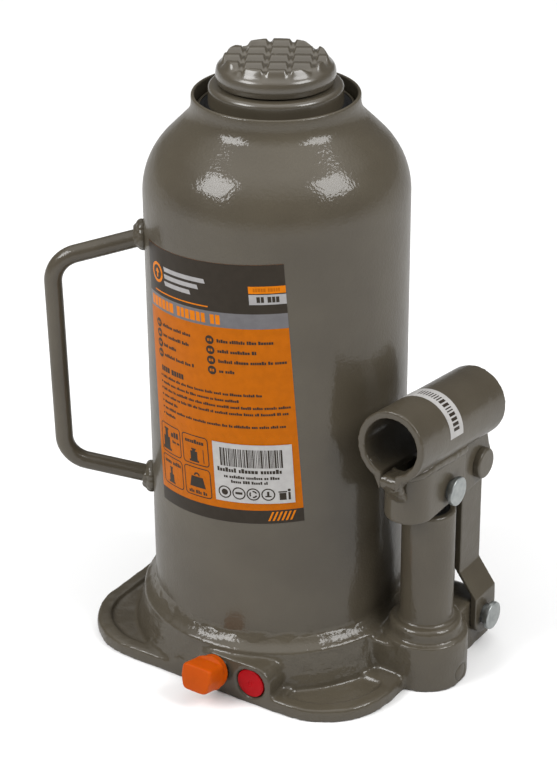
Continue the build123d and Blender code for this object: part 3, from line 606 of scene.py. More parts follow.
def shell_outline(inset, neck, lip):
    """Half-section of the tank's outside, or of its inside at a wall's inset, going up."""
    arc = SHOULDER_ARC - inset
    hub = (TANK_R - SHOULDER_ARC, SHOULDER_Z)
    slope = arc_points(hub, arc, 0, 45, 22)
    corner = (neck, slope[-1][1] + slope[-1][0] - neck)
    neck_line = rounded([slope[-1], corner, (neck, TANK_TOP - lip)], [NECK_BLEND], 12)
    wall = [(TANK_R - inset, TANK_LOW + (SHOULDER_Z - TANK_LOW) * k / 24) for k in range(24)]
    return wall + slope + neck_line[1:]


def build_tank():
    lip = 0.62 * MM
    outside = shell_outline(0.0, NECK_R, lip)
    inside = shell_outline(TANK_WALL, NECK_BORE_R, lip)
    middle = (NECK_R + NECK_BORE_R) / 2
    edge = arc_points((middle, TANK_TOP - lip), lip, 0, 180, 8)
    mesh = lathe(outside + edge[1:-1] + inside[::-1], 192)
    shown("tank_shell", mesh, ENAMEL, "base", ["reservoir_tank"])


def build_tank_weld():
    """The bead at the tank's foot, its ripples nearly drowned in enamel."""
    low = TANK_LOW
    foot = low - 1.0 * MM
    ripples = 62
    rows = 12
    outline = [(HIDDEN_R, foot), (WELD_R, foot), (WELD_R, low)]
    for k in range(1, rows):
        part = k / rows
        reach = (WELD_R - TANK_R) * (1 - part) ** 1.5
        outline.append((TANK_R + reach, low + (WELD_TOP - low) * part))
    outline += [(TANK_R, WELD_TOP), (HIDDEN_R, WELD_TOP)]

    def ripple(angle, radius, height):
        part = max(0.0, min(1.0, (height - low) / (WELD_TOP - low)))
        if radius < TANK_R + 0.01 * MM or part <= 0:
            return radius, height
        swell = sin(pi * part)
        place = (cos(angle) * radius, sin(angle) * radius, height)
        wave = sin(angle * ripples + part * 2.2 + lumps(place, 9 * MM, 2.0)) * 0.04 * MM
        rough = lumps(place, 7 * MM, 0.7 * MM) + lumps(place, 2.6 * MM, 0.2 * MM)
        return radius + swell * (wave + rough - 0.25 * MM), height

    mesh = lathe(outline, 600, wobble=ripple)
    shown("tank_weld_bead", mesh, ENAMEL_WELD, "base", ["tank_base_weld"], 70.0)


def build_casting():
    """Sand-cast base: its corners run soft, its skin uneven, its underside flat, and a thick
    run of paint fills the step between the platform and the weld."""
    platform_r = WELD_R + 1.2 * MM
    foot = TANK_LOW - 1.5 * MM
    run = [(HIDDEN_R, foot), (platform_r, foot)]
    run += [(platform_r, TANK_LOW + 0.3 * MM), (WELD_R - 0.6 * MM, TANK_LOW + 1.3 * MM)]
    run += [(TANK_R + 1.7 * MM, TANK_LOW + 2.5 * MM), (TANK_R + 0.7 * MM, TANK_LOW + 4.0 * MM)]
    run += [(HIDDEN_R, TANK_LOW + 5.2 * MM)]
    build = bmesh.new()
    build.from_mesh(cad_copy("base_casting"))
    build.from_mesh(lathe(run, 192))
    mesh = flowed(baked(build), 0.7 * MM, 8)
    uneven(mesh, [(10 * MM, 0.3 * MM), (4 * MM, 0.16 * MM)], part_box("base_casting"))
    shown("foot_casting", mesh, ENAMEL_CAST, "base", ["base_casting"], angle=60.0)


def build_channel_plug():
    low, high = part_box("channel_plug")
    length = high[0] - low[0]
    radius = (high[1] - low[1]) / 2 + 0.5 * MM
    shape = [(0, 0), (radius, 0), (radius, length - 0.1 * MM), (radius - 1.2 * MM, length + 0.5 * MM)]
    outline = rounded(shape + [(0, length + 0.7 * MM)], [0, 0.5 * MM, 2 * MM], 6)
    centre = (low[0], 0, (low[2] + high[2]) / 2)
    mesh = lathe(outline, 40, centre, axes_along(RIGHT))
    shown("drill_plug", mesh, ENAMEL, "base", ["channel_plug"])


build_tank()
build_tank_weld()
build_casting()
build_channel_plug()
soften("filler_plug", "filler_bung", 0.5 * MM, RUBBER, "base")


# ---- carry handle

HANDLE_ROD = 3.25 * MM
HANDLE_ANGLE = radians(215.0)
HANDLE_OUT = Vector((cos(HANDLE_ANGLE), sin(HANDLE_ANGLE), 0))
# The top end and the foot: height at the tank, then the corner's reach and height
HANDLE_ENDS = ((161.4 * MM, 80.0 * MM, 152.5 * MM), (64.1 * MM, 79.0 * MM, 73.5 * MM))
HANDLE_BEND = 11.0 * MM


def build_carry_handle():
    (top, top_reach, top_corner), (foot, foot_reach, foot_corner) = HANDLE_ENDS
    start = TANK_R - 2.0 * MM
    outline = [(start, top), (top_reach, top_corner), (foot_reach, foot_corner), (start, foot)]
    flat = rounded(outline, [HANDLE_BEND, HANDLE_BEND], 14)
    path = [HANDLE_OUT * reach + UP * height for reach, height in flat]
    shown("handle_rod", tube(path, HANDLE_ROD), ENAMEL, "base", ["carry_handle"])


def build_handle_welds():
    """A collar of weld drops where each end of the rod meets the tank."""
    beads = []
    count = 12
    wide, narrow = 3.9 * MM, 2.6 * MM
    across = Vector((-HANDLE_OUT.y, HANDLE_OUT.x, 0))
    for end in HANDLE_ENDS:
        middle = UP * end[0]
        for k in range(count):
            angle = TURN * k / count
            spoke = across * cos(angle) + UP * sin(angle)
            sag = (spoke.dot(across) * wide) ** 2 / (2 * TANK_R)
            foot = HANDLE_OUT * (TANK_R + 0.5 * MM - sag)
            beads.append((middle + spoke * wide + foot, 2.2 * MM))
            upper = HANDLE_OUT * (TANK_R + 2.4 * MM)
            beads.append((middle + spoke * narrow + upper, 1.6 * MM))
    weld("handle_weld_beads", beads, "base", ["handle_welds"])


build_carry_handle()
build_handle_welds()


# ---- ram, screw and saddle

THREAD_PITCH = 4.0 * MM
THREAD_DEPTH = 1.6 * MM
SCREW_R = SADDLE_R - 5.6 * MM
SADDLE_LOW = RAM_TOP + 0.4 * MM
STOP_LOW, STOP_HIGH = (corner[2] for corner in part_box("screw_stop_ring"))


def build_screw():
    """The extension screw's right-handed thread, with a plain groove for the stop ring."""
    rows = int((SADDLE_LOW - SCREW_LOW) / (THREAD_PITCH / 10))
    step = (SADDLE_LOW + 0.2 * MM - SCREW_LOW) / rows
    outline = [(0, SCREW_LOW)]
    outline += [(SCREW_R, SCREW_LOW + step * k) for k in range(rows + 1)]
    outline += [(0, SADDLE_LOW + 0.2 * MM)]

    def thread(angle, radius, height):
        turn = (height / THREAD_PITCH - angle / TURN) % 1.0
        depth = THREAD_DEPTH * min(max((abs(turn - 0.5) - 0.15) / 0.2, 0.0), 1.0)
        chamfer = SCREW_R - 1.9 * MM + (height - SCREW_LOW)
        radius = min(radius - depth, chamfer)
        if STOP_LOW - 0.2 * MM < height < STOP_HIGH + 0.2 * MM:
            radius = min(radius, SCREW_R - 1.7 * MM)
        return radius, height

    mesh = lathe(outline, 96, wobble=thread)
    shown("screw_thread", mesh, STEEL, "extension_screw", ["extension_screw"], 50.0)


WAFFLE_PITCH = 8.1 * MM
WAFFLE_TURN = radians(30.3)
PAD_HEIGHT = 2.1 * MM


def eased(part):
    part = min(max(part, 0.0), 1.0)
    return part * part * (3 - 2 * part)


def waffle(x, y):
    """How high the pads stand at a place, as a part of their full height."""
    across = x * cos(WAFFLE_TURN) + y * sin(WAFFLE_TURN)
    along = y * cos(WAFFLE_TURN) - x * sin(WAFFLE_TURN)
    half = WAFFLE_PITCH / 2
    from_column = abs((across / WAFFLE_PITCH + 0.35) % 1 - 0.5) * WAFFLE_PITCH
    from_row = abs((along / WAFFLE_PITCH + 0.5) % 1 - 0.5) * WAFFLE_PITCH
    column = eased((half - 0.2 * MM - from_column) / (1.3 * MM))
    row = eased((half - 0.1 * MM - from_row) / (3.0 * MM))
    return row * (0.35 + 0.65 * column)


def build_saddle():
    """The screw's head: a forged dome with waffle pads that run out at its rim."""
    deck = SADDLE_TOP - PAD_HEIGHT
    brim = 0.35 * MM
    crown = deck + brim
    rim = SADDLE_R - 3.4 * MM
    side = [(0, SADDLE_LOW), (SADDLE_R - 1.2 * MM, SADDLE_LOW), (SADDLE_R, SADDLE_LOW + 3.6 * MM)]
    side += [(SADDLE_R - 1.1 * MM, deck - 1.4 * MM), (rim, crown), (0, crown)]
    outline = rounded(side, [0.8 * MM, 5 * MM, 3 * MM, 4 * MM], 8)
    flank = [point for point in outline if point[1] < crown - 0.0001 * MM]
    rings = 72
    reach = flank[-1][0]
    top = [(reach * (1 - k / rings), crown) for k in range(1, rings)]

    def pads(angle, radius, height):
        if height < deck - 1.2 * MM:
            return radius, height
        x, y = radius * cos(angle), radius * sin(angle)
        run_out = eased((SADDLE_R - 1.6 * MM - radius) / (2.4 * MM))
        sink = brim * eased((rim - radius) / (2 * MM))
        return radius, height - sink + (PAD_HEIGHT - 0.02 * MM) * waffle(x, y) * run_out

    mesh = lathe(flank + top + [(0, crown)], 384, wobble=pads)
    mesh = applied(mesh, ("SMOOTH", {"factor": 0.5, "iterations": 1}))
    uneven(mesh, [(6 * MM, 0.08 * MM)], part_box("extension_screw"))
    shown("saddle_head", mesh, PAINTED_SCREW, "extension_screw", angle=60.0)


build_screw()
build_saddle()
soften("ram", "ram_tube", 0.3 * MM, PAINTED_RAM, "ram")
soften("gland_nut", "gland_ring", 0.3 * MM, ENAMEL, "base")


# ---- pump, links and socket

SOCKET_TILT = radians(7.0)
SOCKET_MOUTH = Vector((PUMP_AXIS.x, -28.3 * MM, 106.6 * MM))
SOCKET_ALONG = Vector((0, cos(SOCKET_TILT), -sin(SOCKET_TILT)))
SOCKET_UP = Vector((0, sin(SOCKET_TILT), cos(SOCKET_TILT)))
SOCKET_R = box_size("handle_socket").x / 2
YOKE_OUT = box_size("socket_yoke").x / 2
YOKE_BEND_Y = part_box("socket_yoke")[0][1] + YOKE_OUT
YOKE_REAR_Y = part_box("socket_yoke")[1][1]
THIN_COAT = [(5 * MM, 0.08 * MM)]


def build_pump_cylinder():
    """The pump's tube, with paint bridging its foot to the collar that it screws into."""
    low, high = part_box("pump_cylinder")
    bore = box_size("pump_plunger").x / 2 + 0.06 * MM
    wiper = box_size("pump_wiper").x / 2
    collar = 24.6 * MM
    outline = [(bore, low[2]), (PUMP_R, low[2]), (PUMP_R, collar - 1.0 * MM)]
    outline += [(PUMP_R + 1.5 * MM, collar - 0.6 * MM)]
    outline += arc_points((PUMP_R + 1.6 * MM, collar + 1.5 * MM), 1.6 * MM, 270, 180, 6)
    body = [(PUMP_R, collar + 4 * MM), (PUMP_R, high[2]), (wiper, high[2])]
    outline += rounded(body, [1.1 * MM], 6)
    wiper_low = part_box("pump_wiper")[0][2]
    outline += [(wiper, wiper_low), (bore, wiper_low)]
    mesh = lathe(outline, 96, (PUMP_AXIS.x, PUMP_AXIS.y, 0))
    shown("pump_tube", mesh, ENAMEL, "base", ["pump_cylinder"])


def build_pin(node, name, body):
    """A turned pin: thick flat head, a narrower neck behind it, and a groove for its clip."""
    low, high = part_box(node)
    middle = box_centre(node)
    head = (high[2] - low[2]) / 2
    shank = 3.5 * MM
    groove = shank - 0.5 * MM
    neck = shank + 0.7 * MM
    face = high[0] - low[0]
    seat = face - 2.6 * MM
    head_low = seat + 0.8 * MM
    outline = [(0, 0), (groove, 0), (shank, 0.5 * MM), (shank, 0.9 * MM)]
    outline += [(groove, 1.0 * MM), (groove, 1.95 * MM), (shank, 2.05 * MM)]
    outline += [(shank, seat), (neck, seat)]
    rim = [(neck, head_low), (head, head_low), (head, face), (0, face)]
    outline += rounded(rim, [0.25 * MM, 0.45 * MM], 4)
    mesh = lathe(outline, 64, (low[0], middle.y, middle.z), axes_along(RIGHT))
    shown(name, mesh, ZINC, body, [node], angle=30.0)


def tube_under(x, y):
    """The place on the socket tube's underside over a point of the ground plan."""
    axis_z = SOCKET_MOUTH.z - (y - SOCKET_MOUTH.y) * tan(SOCKET_TILT)
    across = x - SOCKET_MOUTH.x
    drop = sqrt(SOCKET_R**2 - across**2) / cos(SOCKET_TILT)
    return Vector((x, y, axis_z - drop))


def build_socket_tube():
    """The rolled tube; its two lips lean together below the mouth."""
    lean = 2.2 * MM
    mesh = cad_copy("handle_socket")
    for vertex in mesh.vertices:
        place = vertex.co - SOCKET_MOUTH
        at_mouth = place.dot(SOCKET_ALONG) < 6 * MM and place.dot(SOCKET_UP) < -15.5 * MM
        if at_mouth and abs(place.x) > 4 * MM:
            vertex.co.x -= copysign(lean, place.x)
    mesh = flowed(mesh, 0.42 * MM, 6)
    uneven(mesh, THIN_COAT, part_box("handle_socket"))
    shown("socket_tube", mesh, ENAMEL, "socket", ["handle_socket"], angle=60.0)


def build_socket_welds():
    """The seam round the yoke's top edge, filled smooth, and the drop that closes the tube's
    foot at its mouth."""
    seam = []
    centre = SOCKET_MOUTH.x
    half = YOKE_OUT - 0.9 * MM
    run = YOKE_REAR_Y - YOKE_BEND_Y - 1.5 * MM
    for side in (-1, 1):
        for k in range(30):
            y = YOKE_BEND_Y + run * k / 29
            seam.append((tube_under(centre + side * half, y), 2.35 * MM))
    for k in range(1, 26):
        angle = pi * k / 26
        x = centre + half * cos(angle)
        y = YOKE_BEND_Y - half * sin(angle)
        seam.append((tube_under(x, y) - UP * 0.3 * MM, 2.2 * MM))
    weld("socket_seam", seam, "socket", ["socket_welds"], passes=14, scatter=0.04)

    # Drops behind the lips, in the run that hangs between them, and up the bore's two sides:
    # each one's sideways place, its place below the tube's axis, its depth and its radius in mm
    drops = [(side, 12.9, depth, 1.9) for depth in (2.4, 4.4, 6.4, 8.4) for side in (-2, 0, 2)]
    for row in range(10):
        part = row / 9
        for k in range(-3, 4):
            side = k * (0.9 - 0.15 * part)
            depth = 1.9 + 7.2 * part**1.2 + 0.08 * k * k
            drops.append((side, 13.6 + 8.4 * part, depth, 1.9 - 0.4 * part))
    for k in range(7):
        for depth in (1.7, 3.2, 4.7):
            for way in (-1, 1):
                drops.append((way * (8.6 - 1.05 * k), 7.5 + 1.2 * k, depth, 1.5))
    beads = []
    for side, drop, depth, size in drops:
        place = SOCKET_MOUTH + SOCKET_ALONG * depth * MM - SOCKET_UP * drop * MM
        beads.append((place + Vector((side * MM, 0, 0)), size * MM))
    weld("socket_mouth_weld", beads, "socket", passes=10, scatter=0.08)


build_pump_cylinder()
build_pin("lower_pin", "lower_link_pin", "links")
build_pin("plunger_pin", "plunger_cross_pin", "socket")
build_socket_tube()
build_socket_welds()
painted_soft("outer_link", "outer_link_bar", 0.36 * MM, 5, ENAMEL, "links", THIN_COAT)
painted_soft("inner_link", "inner_link_bar", 0.36 * MM, 5, ENAMEL, "links", THIN_COAT)
painted_soft("socket_yoke", "socket_strap", 0.4 * MM, 7, ENAMEL, "socket", THIN_COAT)
painted_soft("link_rivet", "rivet_painted", 0.3 * MM, 5, ENAMEL, "socket", THIN_COAT)
painted_soft("pump_plunger", "plunger_rod", 0.4 * MM, 4, PAINTED_PLUNGER, "plunger")
soften("lower_pin_clip", "lower_pin_clip_ring", 0.15 * MM, ZINC, "links")
soften("plunger_pin_clip", "plunger_pin_clip_ring", 0.15 * MM, ZINC, "socket")
soften("screw_stop_ring", "stop_circlip", 0.2 * MM, ZINC, "screw_stop")


# ---- release cap and red plug

VALVE_TILT = radians(14.0)
VALVE_MOUTH = Vector((7.5 * MM, -53.5 * MM, 9.6 * MM))
VALVE_OUT = Vector((0, -cos(VALVE_TILT), sin(VALVE_TILT)))
VALVE_UP = Vector((0, sin(VALVE_TILT), cos(VALVE_TILT)))
# The cap, from where it shows: a round sleeve, a change of shape, a square block and its nose
CAP_START = 2.1 * MM
SLEEVE_END = 4.6 * MM
BLOCK_START = 5.8 * MM
NOSE = 1.3 * MM
CAP_LENGTH = 14.0 * MM
PIP_ANGLE = radians(30)


def cap_section(depth):
    """The cap's half width, half height and squareness at a distance from the base."""
    change = min(max((depth - SLEEVE_END) / (BLOCK_START - SLEEVE_END), 0.0), 1.0)
    taper = max((depth - BLOCK_START) / (CAP_LENGTH - BLOCK_START), 0.0)
    nose = max(0.0, depth - (CAP_LENGTH - NOSE)) / NOSE
    shrink = 1.0 - 0.13 * (1.0 - sqrt(max(0.0, 1.0 - nose**2)))
    wide = (6.15 + 0.1 * change + 0.1 * taper) * MM * shrink
    tall = (6.35 - 1.35 * change) * MM * shrink
    return wide, tall, 2.0 + 4.5 * change


def cap_ring(depth):
    """The points round one section; below, the block narrows a little."""
    segments = 96
    wide, tall, square = cap_section(depth)
    middle = VALVE_MOUTH + VALVE_OUT * depth
    ring = []
    for k in range(segments):
        angle = TURN * k / segments
        cosine, sine = cos(angle), sin(angle)
        reach = (abs(cosine) ** square + abs(sine) ** square) ** (-1 / square)
        across, upward = wide * reach * cosine, tall * reach * sine
        if upward < 0:
            across *= 1 - 0.2 * min(1.0, -upward / tall) * min(1.0, (square - 2) / 4)
        ring.append(middle + RIGHT * across + VALVE_UP * upward)
    return ring


def steps(start, end, count):
    """Even steps from the start up to the end, which is left out."""
    return [start + (end - start) * k / count for k in range(count)]


def build_cap():
    nose = CAP_LENGTH - NOSE
    depths = steps(CAP_START, SLEEVE_END, 5) + steps(SLEEVE_END, BLOCK_START, 4)
    depths += steps(BLOCK_START, nose, 5)
    depths += [nose + NOSE * sin(pi / 2 * k / 6) for k in range(7)]
    mesh = stacked([cap_ring(depth) for depth in depths])
    shown("valve_cap", mesh, ORANGE, "release_valve", ["release_cap"])

    pip = [(0, -1.0 * MM), (1.1 * MM, -1.0 * MM), (1.1 * MM, 0.1 * MM), (0.8 * MM, 0.35 * MM)]
    pip += [(0, 0.4 * MM)]
    out = RIGHT * cos(PIP_ANGLE) + VALVE_UP * sin(PIP_ANGLE)
    side = VALVE_MOUTH + VALVE_OUT * 4.0 * MM + out * 6.1 * MM
    mesh = lathe(pip, 28, side, axes_along(out))
    shown("valve_cap_pip", mesh, ORANGE, "release_valve")


def build_red_plug():
    """The red disc over the overload valve, with a small dimple in its middle."""
    low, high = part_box("safety_plug")
    middle = box_centre("safety_plug")
    radius = (high[0] - low[0]) / 2
    depth = high[1] - low[1]
    stem = radius * 0.62
    head_low = depth - 1.7 * MM
    face = [(0, 0), (stem, 0), (stem, head_low), (radius, head_low), (radius, depth), (0, depth)]
    outline = rounded(face, [0, 0, 0.2 * MM, 0.4 * MM], 4)[:-1]
    outline += [(1.1 * MM, depth), (0.75 * MM, depth - 0.25 * MM), (0, depth - 0.3 * MM)]
    mesh = lathe(outline, 64, (middle.x, high[1], middle.z), axes_along(Vector((0, -1, 0))))
    shown("overload_plug", mesh, RED, "base", ["safety_plug"], angle=30.0)


build_cap()
build_red_plug()


# ---- printed labels

LABEL_TURN = radians(3.9)
LABEL_ARC = 3.0 * MM
LABEL_Z = box_centre("main_label").z
LABEL_HALF_W = 30.1
LABEL_HALF_H = 49.7
CODE_TURN = radians(3.0)
CODE_ARC = 18.2 * MM
CODE_Z = box_centre("code_label").z
CODE_HALF_W = 14.4
CODE_HALF_H = 11.6


class Sheet:
    """One layer of a label, wrapped on a cylinder: thin closed patches in the label's own
    millimetres, u to the right and v up from its middle."""

    def __init__(self, surface, centre, turn, level):
        self.origin, self.out, self.across, self.up, self.radius = surface
        self.centre = centre
        self.turn = turn
        self.level = level
        self.vertices = []
        self.faces = []

    def place(self, u, v, lift):
        """The point over (u, v), at a height above the cylinder."""
        arc = self.centre[0] + (u * cos(self.turn) - v * sin(self.turn)) * MM
        height = self.centre[1] + (u * sin(self.turn) + v * cos(self.turn)) * MM
        angle = arc / self.radius
        spoke = self.out * cos(angle) + self.across * sin(angle)
        return self.origin + spoke * (self.radius + lift) + self.up * height

    def solid(self, grid):
        """A thin block whose plan is a grid of rows of (u, v)."""
        start = len(self.vertices)
        rows, columns = len(grid), len(grid[0])
        under = rows * columns
        for lift in (self.level, self.level - 0.06 * MM):
            self.vertices += [self.place(u, v, lift) for row in grid for u, v in row]

        def quad(corner, first, second):
            corner += start
            self.faces.append((corner, corner + first, corner + first + second, corner + second))

        for row in range(rows - 1):
            for column in range(columns - 1):
                quad(row * columns + column, 1, columns)
                quad(under + row * columns + column, 1, columns)
        for row in range(rows - 1):
            for column in (0, columns - 1):
                quad(row * columns + column, columns, under)
        for column in range(columns - 1):
            for row in (0, rows - 1):
                quad(row * columns + column, 1, under)

    def box(self, left, low, right, high, lean=0.0, step=1.2):
        """A rectangle; lean moves its top edge sideways."""
        width = right - left
        columns = max(1, ceil(width / step))
        rows = max(1, ceil((high - low) * 0.1 / step + abs(lean) / step))
        grid = []
        for row in range(rows + 1):
            part = row / rows
            v = low + (high - low) * part
            grid.append([(left + width * k / columns + lean * part, v) for k in range(columns + 1)])
        self.solid(grid)

    def ring(self, u, v, inner, outer, start=0.0, end=360.0, count=24):
        """A disc, a ring or a part of a ring, angles in degrees."""
        grid = []
        for k in range(count + 1):
            angle = radians(start + (end - start) * k / count)
            cosine, sine = cos(angle), sin(angle)
            grid.append([(u + r * cosine, v + r * sine) for r in (max(inner, 0.02), outer)])
        self.solid(grid)

    def frame(self, left, low, right, high, width, corner):
        """A rounded rectangular outline."""
        for v in (low, high - width):
            self.box(left + corner, v, right - corner, v + width)
        for u in (left, right - width):
            self.box(u, low + corner, u + width, high - corner)
        for u, v, start in (
            (right - corner, high - corner, 0),
            (left + corner, high - corner, 90),
            (left + corner, low + corner, 180),
            (right - corner, low + corner, 270),
        ):
            self.ring(u, v, corner - width, corner, start, start + 90, 5)

    def words(self, left, right, low, height, seed, rise=(0.72, 0.72, 1.0)):
        """A line of writing, shown as plain blocks and not as letters."""
        source = random.Random(seed)
        place = left
        letter_gap, word_gap = height * 0.14, height * 0.45
        while place < right - height:
            for letter in range(source.randint(2, 8)):
                width = height * source.uniform(0.42, 0.66)
                if place + width > right:
                    break
                top = height * source.choice(rise)
                self.box(place, low, place + width, low + top, step=2.0)
                place += width + letter_gap
            place += word_gap

    def finish(self, name, ink, replaces=(), slot="label_film", body="base"):
        mesh = mesh_of(self.vertices, self.faces)
        shown(name, mesh, ink, body, replaces, angle=30.0)


# A cylinder to print on: its origin, the ways out, across and up, and its radius
TANK_SURFACE = (Vector((0, 0, 0)), Vector((0, -1, 0)), RIGHT, UP, TANK_R)
SOCKET_SURFACE = (SOCKET_MOUTH, SOCKET_UP, RIGHT, SOCKET_ALONG, SOCKET_R)


def label_sheet(level):
    return Sheet(TANK_SURFACE, (LABEL_ARC, LABEL_Z), LABEL_TURN, level * MM)


def code_sheet(level):
    return Sheet(TANK_SURFACE, (CODE_ARC, CODE_Z), CODE_TURN, level * MM)


# The main label's layout, in its own millimetres
HEADER_LOW = 31.7
BAND_LOW = 26.1
FOOT_TOP = -44.4
LIST_ROWS = [20.9 - 3.8 * row for row in range(4)]
LIST_DISCS = (-24.4, 1.5)
EMBLEM_U, EMBLEM_V = -23.2, 40.0
CAPITALS = (1.0,)


def build_label_fields():
    """The film and the large fields of colour on it."""
    film = label_sheet(0.09)
    film.box(-LABEL_HALF_W, -LABEL_HALF_H, LABEL_HALF_W, LABEL_HALF_H)
    film.finish("label_film", FILM_ORANGE, ["main_label"])

    black = label_sheet(0.12)
    black.box(-LABEL_HALF_W, HEADER_LOW, LABEL_HALF_W, LABEL_HALF_H)
    black.box(-LABEL_HALF_W, -LABEL_HALF_H, LABEL_HALF_W, FOOT_TOP)
    black.finish("label_black_fields", INK_BLACK)

    grey = label_sheet(0.12)
    grey.box(-LABEL_HALF_W, BAND_LOW, LABEL_HALF_W, HEADER_LOW)
    grey.finish("label_grey_band", INK_GREY)

    plate = label_sheet(0.115)
    pitch, half_wide, half_tall, slant = 2.3, 0.28, 0.62, 0.95
    for row in range(14):
        for column in range(26):
            u = -28.6 + column * pitch
            v = FOOT_TOP + 1.4 + row * pitch
            if v <= -13.5 - abs(u) * 0.05:
                lean = slant if (row + column) % 2 else -slant
                left = u - lean / 2 - half_wide
                plate.box(left, v - half_tall, left + 2 * half_wide, v + half_tall, lean, 3.0)
    plate.finish("label_tread_pattern", INK_TREAD)


def jack_sign(sheet, u, low, scale, lift=0.0):
    """A small plain picture of a jack; lift raises its ram."""
    top = 4.2 + lift
    parts = [(2.2, 0.0, 0.8), (1.6, 0.8, 4.2), (0.7, 4.2, top + 0.5), (1.1, top + 0.5, top + 1.1)]
    for half, start, end in parts:
        sheet.box(u - half * scale, low + start * scale, u + half * scale, low + end * scale)


def weight_sign(sheet, u, low):
    """A small plain picture of a weight with its ring."""
    high = low + 4.2
    sheet.box(u - 3.6, low, u - 1.0, high, 1.0)
    sheet.box(u - 1.0, low, u + 1.0, high)
    sheet.box(u + 1.0, low, u + 3.6, high, -1.0)
    sheet.ring(u, high + 0.4, 0.7, 1.35, 0, 180, 12)


def print_list(sheet):
    """Two columns of discs with words, a heading, and rows of small writing with bullets."""
    for row, v in enumerate(LIST_ROWS):
        for u in LIST_DISCS:
            sheet.ring(u, v, 0.0, 1.65)
        sheet.words(-21.9, (-6.0, -7.5, -14.0, -5.5)[row], v - 0.6, 1.25, 20 + row)
        sheet.words(4.3, (25.0, 19.0, 28.5, 10.0)[row], v - 0.6, 1.25, 40 + row)
    sheet.words(-24.6, -11.0, 2.8, 2.0, 60, CAPITALS)
    for row, reach in enumerate((19.0, 12.0, 28.6, 28.2, -16.0, 26.8, -17.5)):
        v = 0.4 - 2.45 * row
        sheet.ring(-25.1, v + 0.5, 0.0, 0.4, count=12)
        sheet.words(-24.0, reach, v, 1.05, 80 + row)


def print_signs(sheet):
    """Four framed signs: a jack, a jack beside a height bar, a raised jack and a weight."""
    wide, tall, gap = 12.1, 11.6, 1.0
    first, top = -28.2, -17.8
    second, lower = first + wide + gap, top - tall - gap
    for u in (first, second):
        for v in (top - tall, lower - tall):
            sheet.frame(u, v, u + wide, v + tall, 0.38, 1.5)
    jack_sign(sheet, first + 3.6, top - tall + 1.2, 1.25, 1.6)
    sheet.words(first + 6.6, first + 11.2, top - 4.4, 2.2, 3)
    sheet.words(first + 7.2, first + 11.2, top - 6.6, 1.1, 4)
    jack_sign(sheet, second + 5.4, top - tall + 1.0, 1.0)
    sheet.words(second + 1.6, second + 11.0, top - 3.3, 1.6, 6)
    sheet.box(second + 9.6, top - tall + 1.2, second + 9.9, top - 5.0)
    jack_sign(sheet, first + 5.2, lower - tall + 1.0, 0.85, 2.2)
    sheet.words(first + 1.4, first + 11.0, lower - 3.0, 1.5, 7)
    weight_sign(sheet, second + 6.0, lower - tall + 3.6)
    sheet.words(second + 1.8, second + 10.4, lower - tall + 1.0, 1.4, 8)


def build_label_print():
    """The writing and signs, all of them plain shapes."""
    orange = label_sheet(0.15)
    orange.box(17.4, 39.3, LABEL_HALF_W, 41.9)
    orange.box(-25.5, 33.0, 2.0, 33.45)
    orange.ring(EMBLEM_U, EMBLEM_V, 2.7, 3.7)
    orange.box(EMBLEM_U - 0.4, EMBLEM_V - 1.8, EMBLEM_U + 0.4, EMBLEM_V + 0.6)
    for side in (-1, 1):
        foot = EMBLEM_U + side * 0.9
        orange.box(foot - 0.35, EMBLEM_V, foot + 0.35, EMBLEM_V + 1.4, -side * 0.9)
    orange.words(-28.6, 8.5, 27.1, 3.5, 5, CAPITALS)
    for k in range(6):
        left = 17.3 + k * 1.55
        orange.box(left, FOOT_TOP - 4.2, left + 0.7, FOOT_TOP - 0.6, 1.7)
    orange.finish("label_orange_print", INK_ORANGE)

    light = label_sheet(0.15)
    light.box(17.4, 35.2, LABEL_HALF_W, 38.9)
    for k, reach in enumerate((1.6, -1.4, -5.0)):
        low = 41.6 - k * 2.6
        light.box(-18.2, low, reach, low + 1.6, -0.5)
    light.finish("label_light_print", INK_LIGHT)

    dark = label_sheet(0.13)
    print_list(dark)
    print_signs(dark)
    dark.finish("label_dark_print", INK_BLACK)

    badge = label_sheet(0.155)
    for v in LIST_ROWS:
        for u in LIST_DISCS:
            badge.box(u - 0.85, v - 0.5, u - 0.15, v + 0.5)
            badge.box(u + 0.15, v - 0.5, u + 0.85, v + 0.5)
    badge.words(19.0, 28.6, 39.9, 1.35, 12, CAPITALS)
    badge.finish("label_badge_print", INK_TREAD)

    title = label_sheet(0.175)
    title.words(20.0, 28.0, 36.0, 2.1, 14, CAPITALS)
    title.finish("label_number_blocks", INK_BLACK)


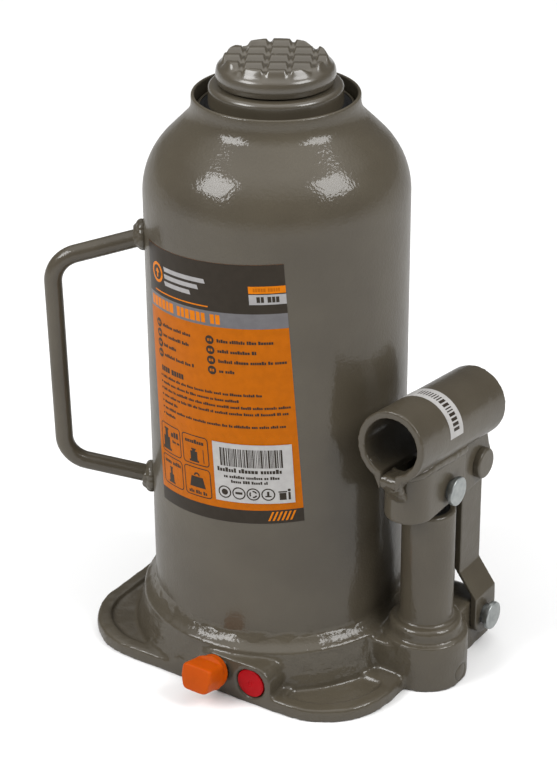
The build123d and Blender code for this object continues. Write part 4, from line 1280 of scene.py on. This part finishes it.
def build_code_label():
    """White paper with bars, lines of writing and a row of small signs."""
    paper = code_sheet(0.30)
    paper.box(-CODE_HALF_W, -CODE_HALF_H, CODE_HALF_W, CODE_HALF_H)
    paper.finish("code_paper", PAPER, ["code_label"], "white_paper")

    ink = code_sheet(0.33)
    source = random.Random(41)
    u = -11.6
    while u < 10.4:
        width = source.choice((0.22, 0.22, 0.42, 0.62))
        ink.box(u, 2.6, u + width, 9.7)
        u += width + source.choice((0.24, 0.24, 0.42))
    ink.words(-12.9, 12.6, 0.3, 1.7, 42)
    ink.words(-10.6, 9.6, -2.0, 1.15, 43)
    ink.words(-8.0, 7.0, -3.9, 1.15, 44)
    signs = (-10.7, -5.4, -0.2, 5.1)
    sign_v = -7.9
    for u in signs:
        ink.ring(u, sign_v, 2.0, 2.45)
    ink.ring(signs[0], sign_v, 0.0, 1.2)
    ink.box(signs[1] - 1.3, sign_v - 0.4, signs[1] + 1.3, sign_v + 0.5)
    for start in (20, 140, 260):
        ink.ring(signs[2], sign_v, 0.9, 1.45, start, start + 80, 10)
    ink.box(signs[3] - 1.1, sign_v - 1.0, signs[3] + 1.1, sign_v - 0.5)
    ink.box(signs[3] - 0.4, sign_v - 0.5, signs[3] + 0.4, sign_v + 1.2)
    ink.box(9.0, -10.2, 11.4, -7.4)
    ink.box(8.7, -7.2, 11.7, -6.7)
    ink.box(12.1, -10.2, 12.9, -7.2)
    ink.ring(12.5, -6.4, 0.0, 0.55, count=14)
    ink.finish("code_print", INK_BLACK, slot="white_paper")


def build_socket_band():
    """A paper band over the socket tube's upper half, with bars as on a code."""
    centre = (0.0, 23.5 * MM)
    half = 4.5
    reach = SOCKET_R / MM * pi / 2 - 0.4
    band = Sheet(SOCKET_SURFACE, centre, 0.0, 0.09 * MM)
    band.box(-reach, -half, reach, half, step=0.6)
    band.finish("socket_band", PAPER, ["socket_sticker"], "white_paper", "socket")
    marks = Sheet(SOCKET_SURFACE, centre, 0.0, 0.115 * MM)
    source = random.Random(77)
    u = -3.0
    while u < reach - 3.2:
        width = source.choice((0.45, 0.45, 1.15))
        marks.box(u, -1.9, u + width, 1.9, step=0.6)
        u += width + 0.62
    marks.finish("socket_band_marks", INK_BLACK, slot="white_paper", body="socket")


build_label_fields()
build_label_print()
build_code_label()
build_socket_band()


# ---- the CAD nodes that stay

KEPT = {
    STEEL: ["hydraulic_cylinder", "relief_spring", "relief_screw", "release_screw"],
    RUBBER: ["cylinder_base_seal", "gland_seal", "ram_wiper", "pump_wiper", "piston_seal"],
    SOFT_SEAL: ["plunger_seal", "release_o_ring"],
    COPPER: ["pump_base_washer"],
    BALL_STEEL: ["relief_ball", "inlet_ball", "outlet_ball", "release_ball"],
    GUIDE: ["piston_guide_ring"],
}
for material, nodes in KEPT.items():
    for node in nodes:
        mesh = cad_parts[node].data
        mesh.materials.clear()
        mesh.materials.append(material)
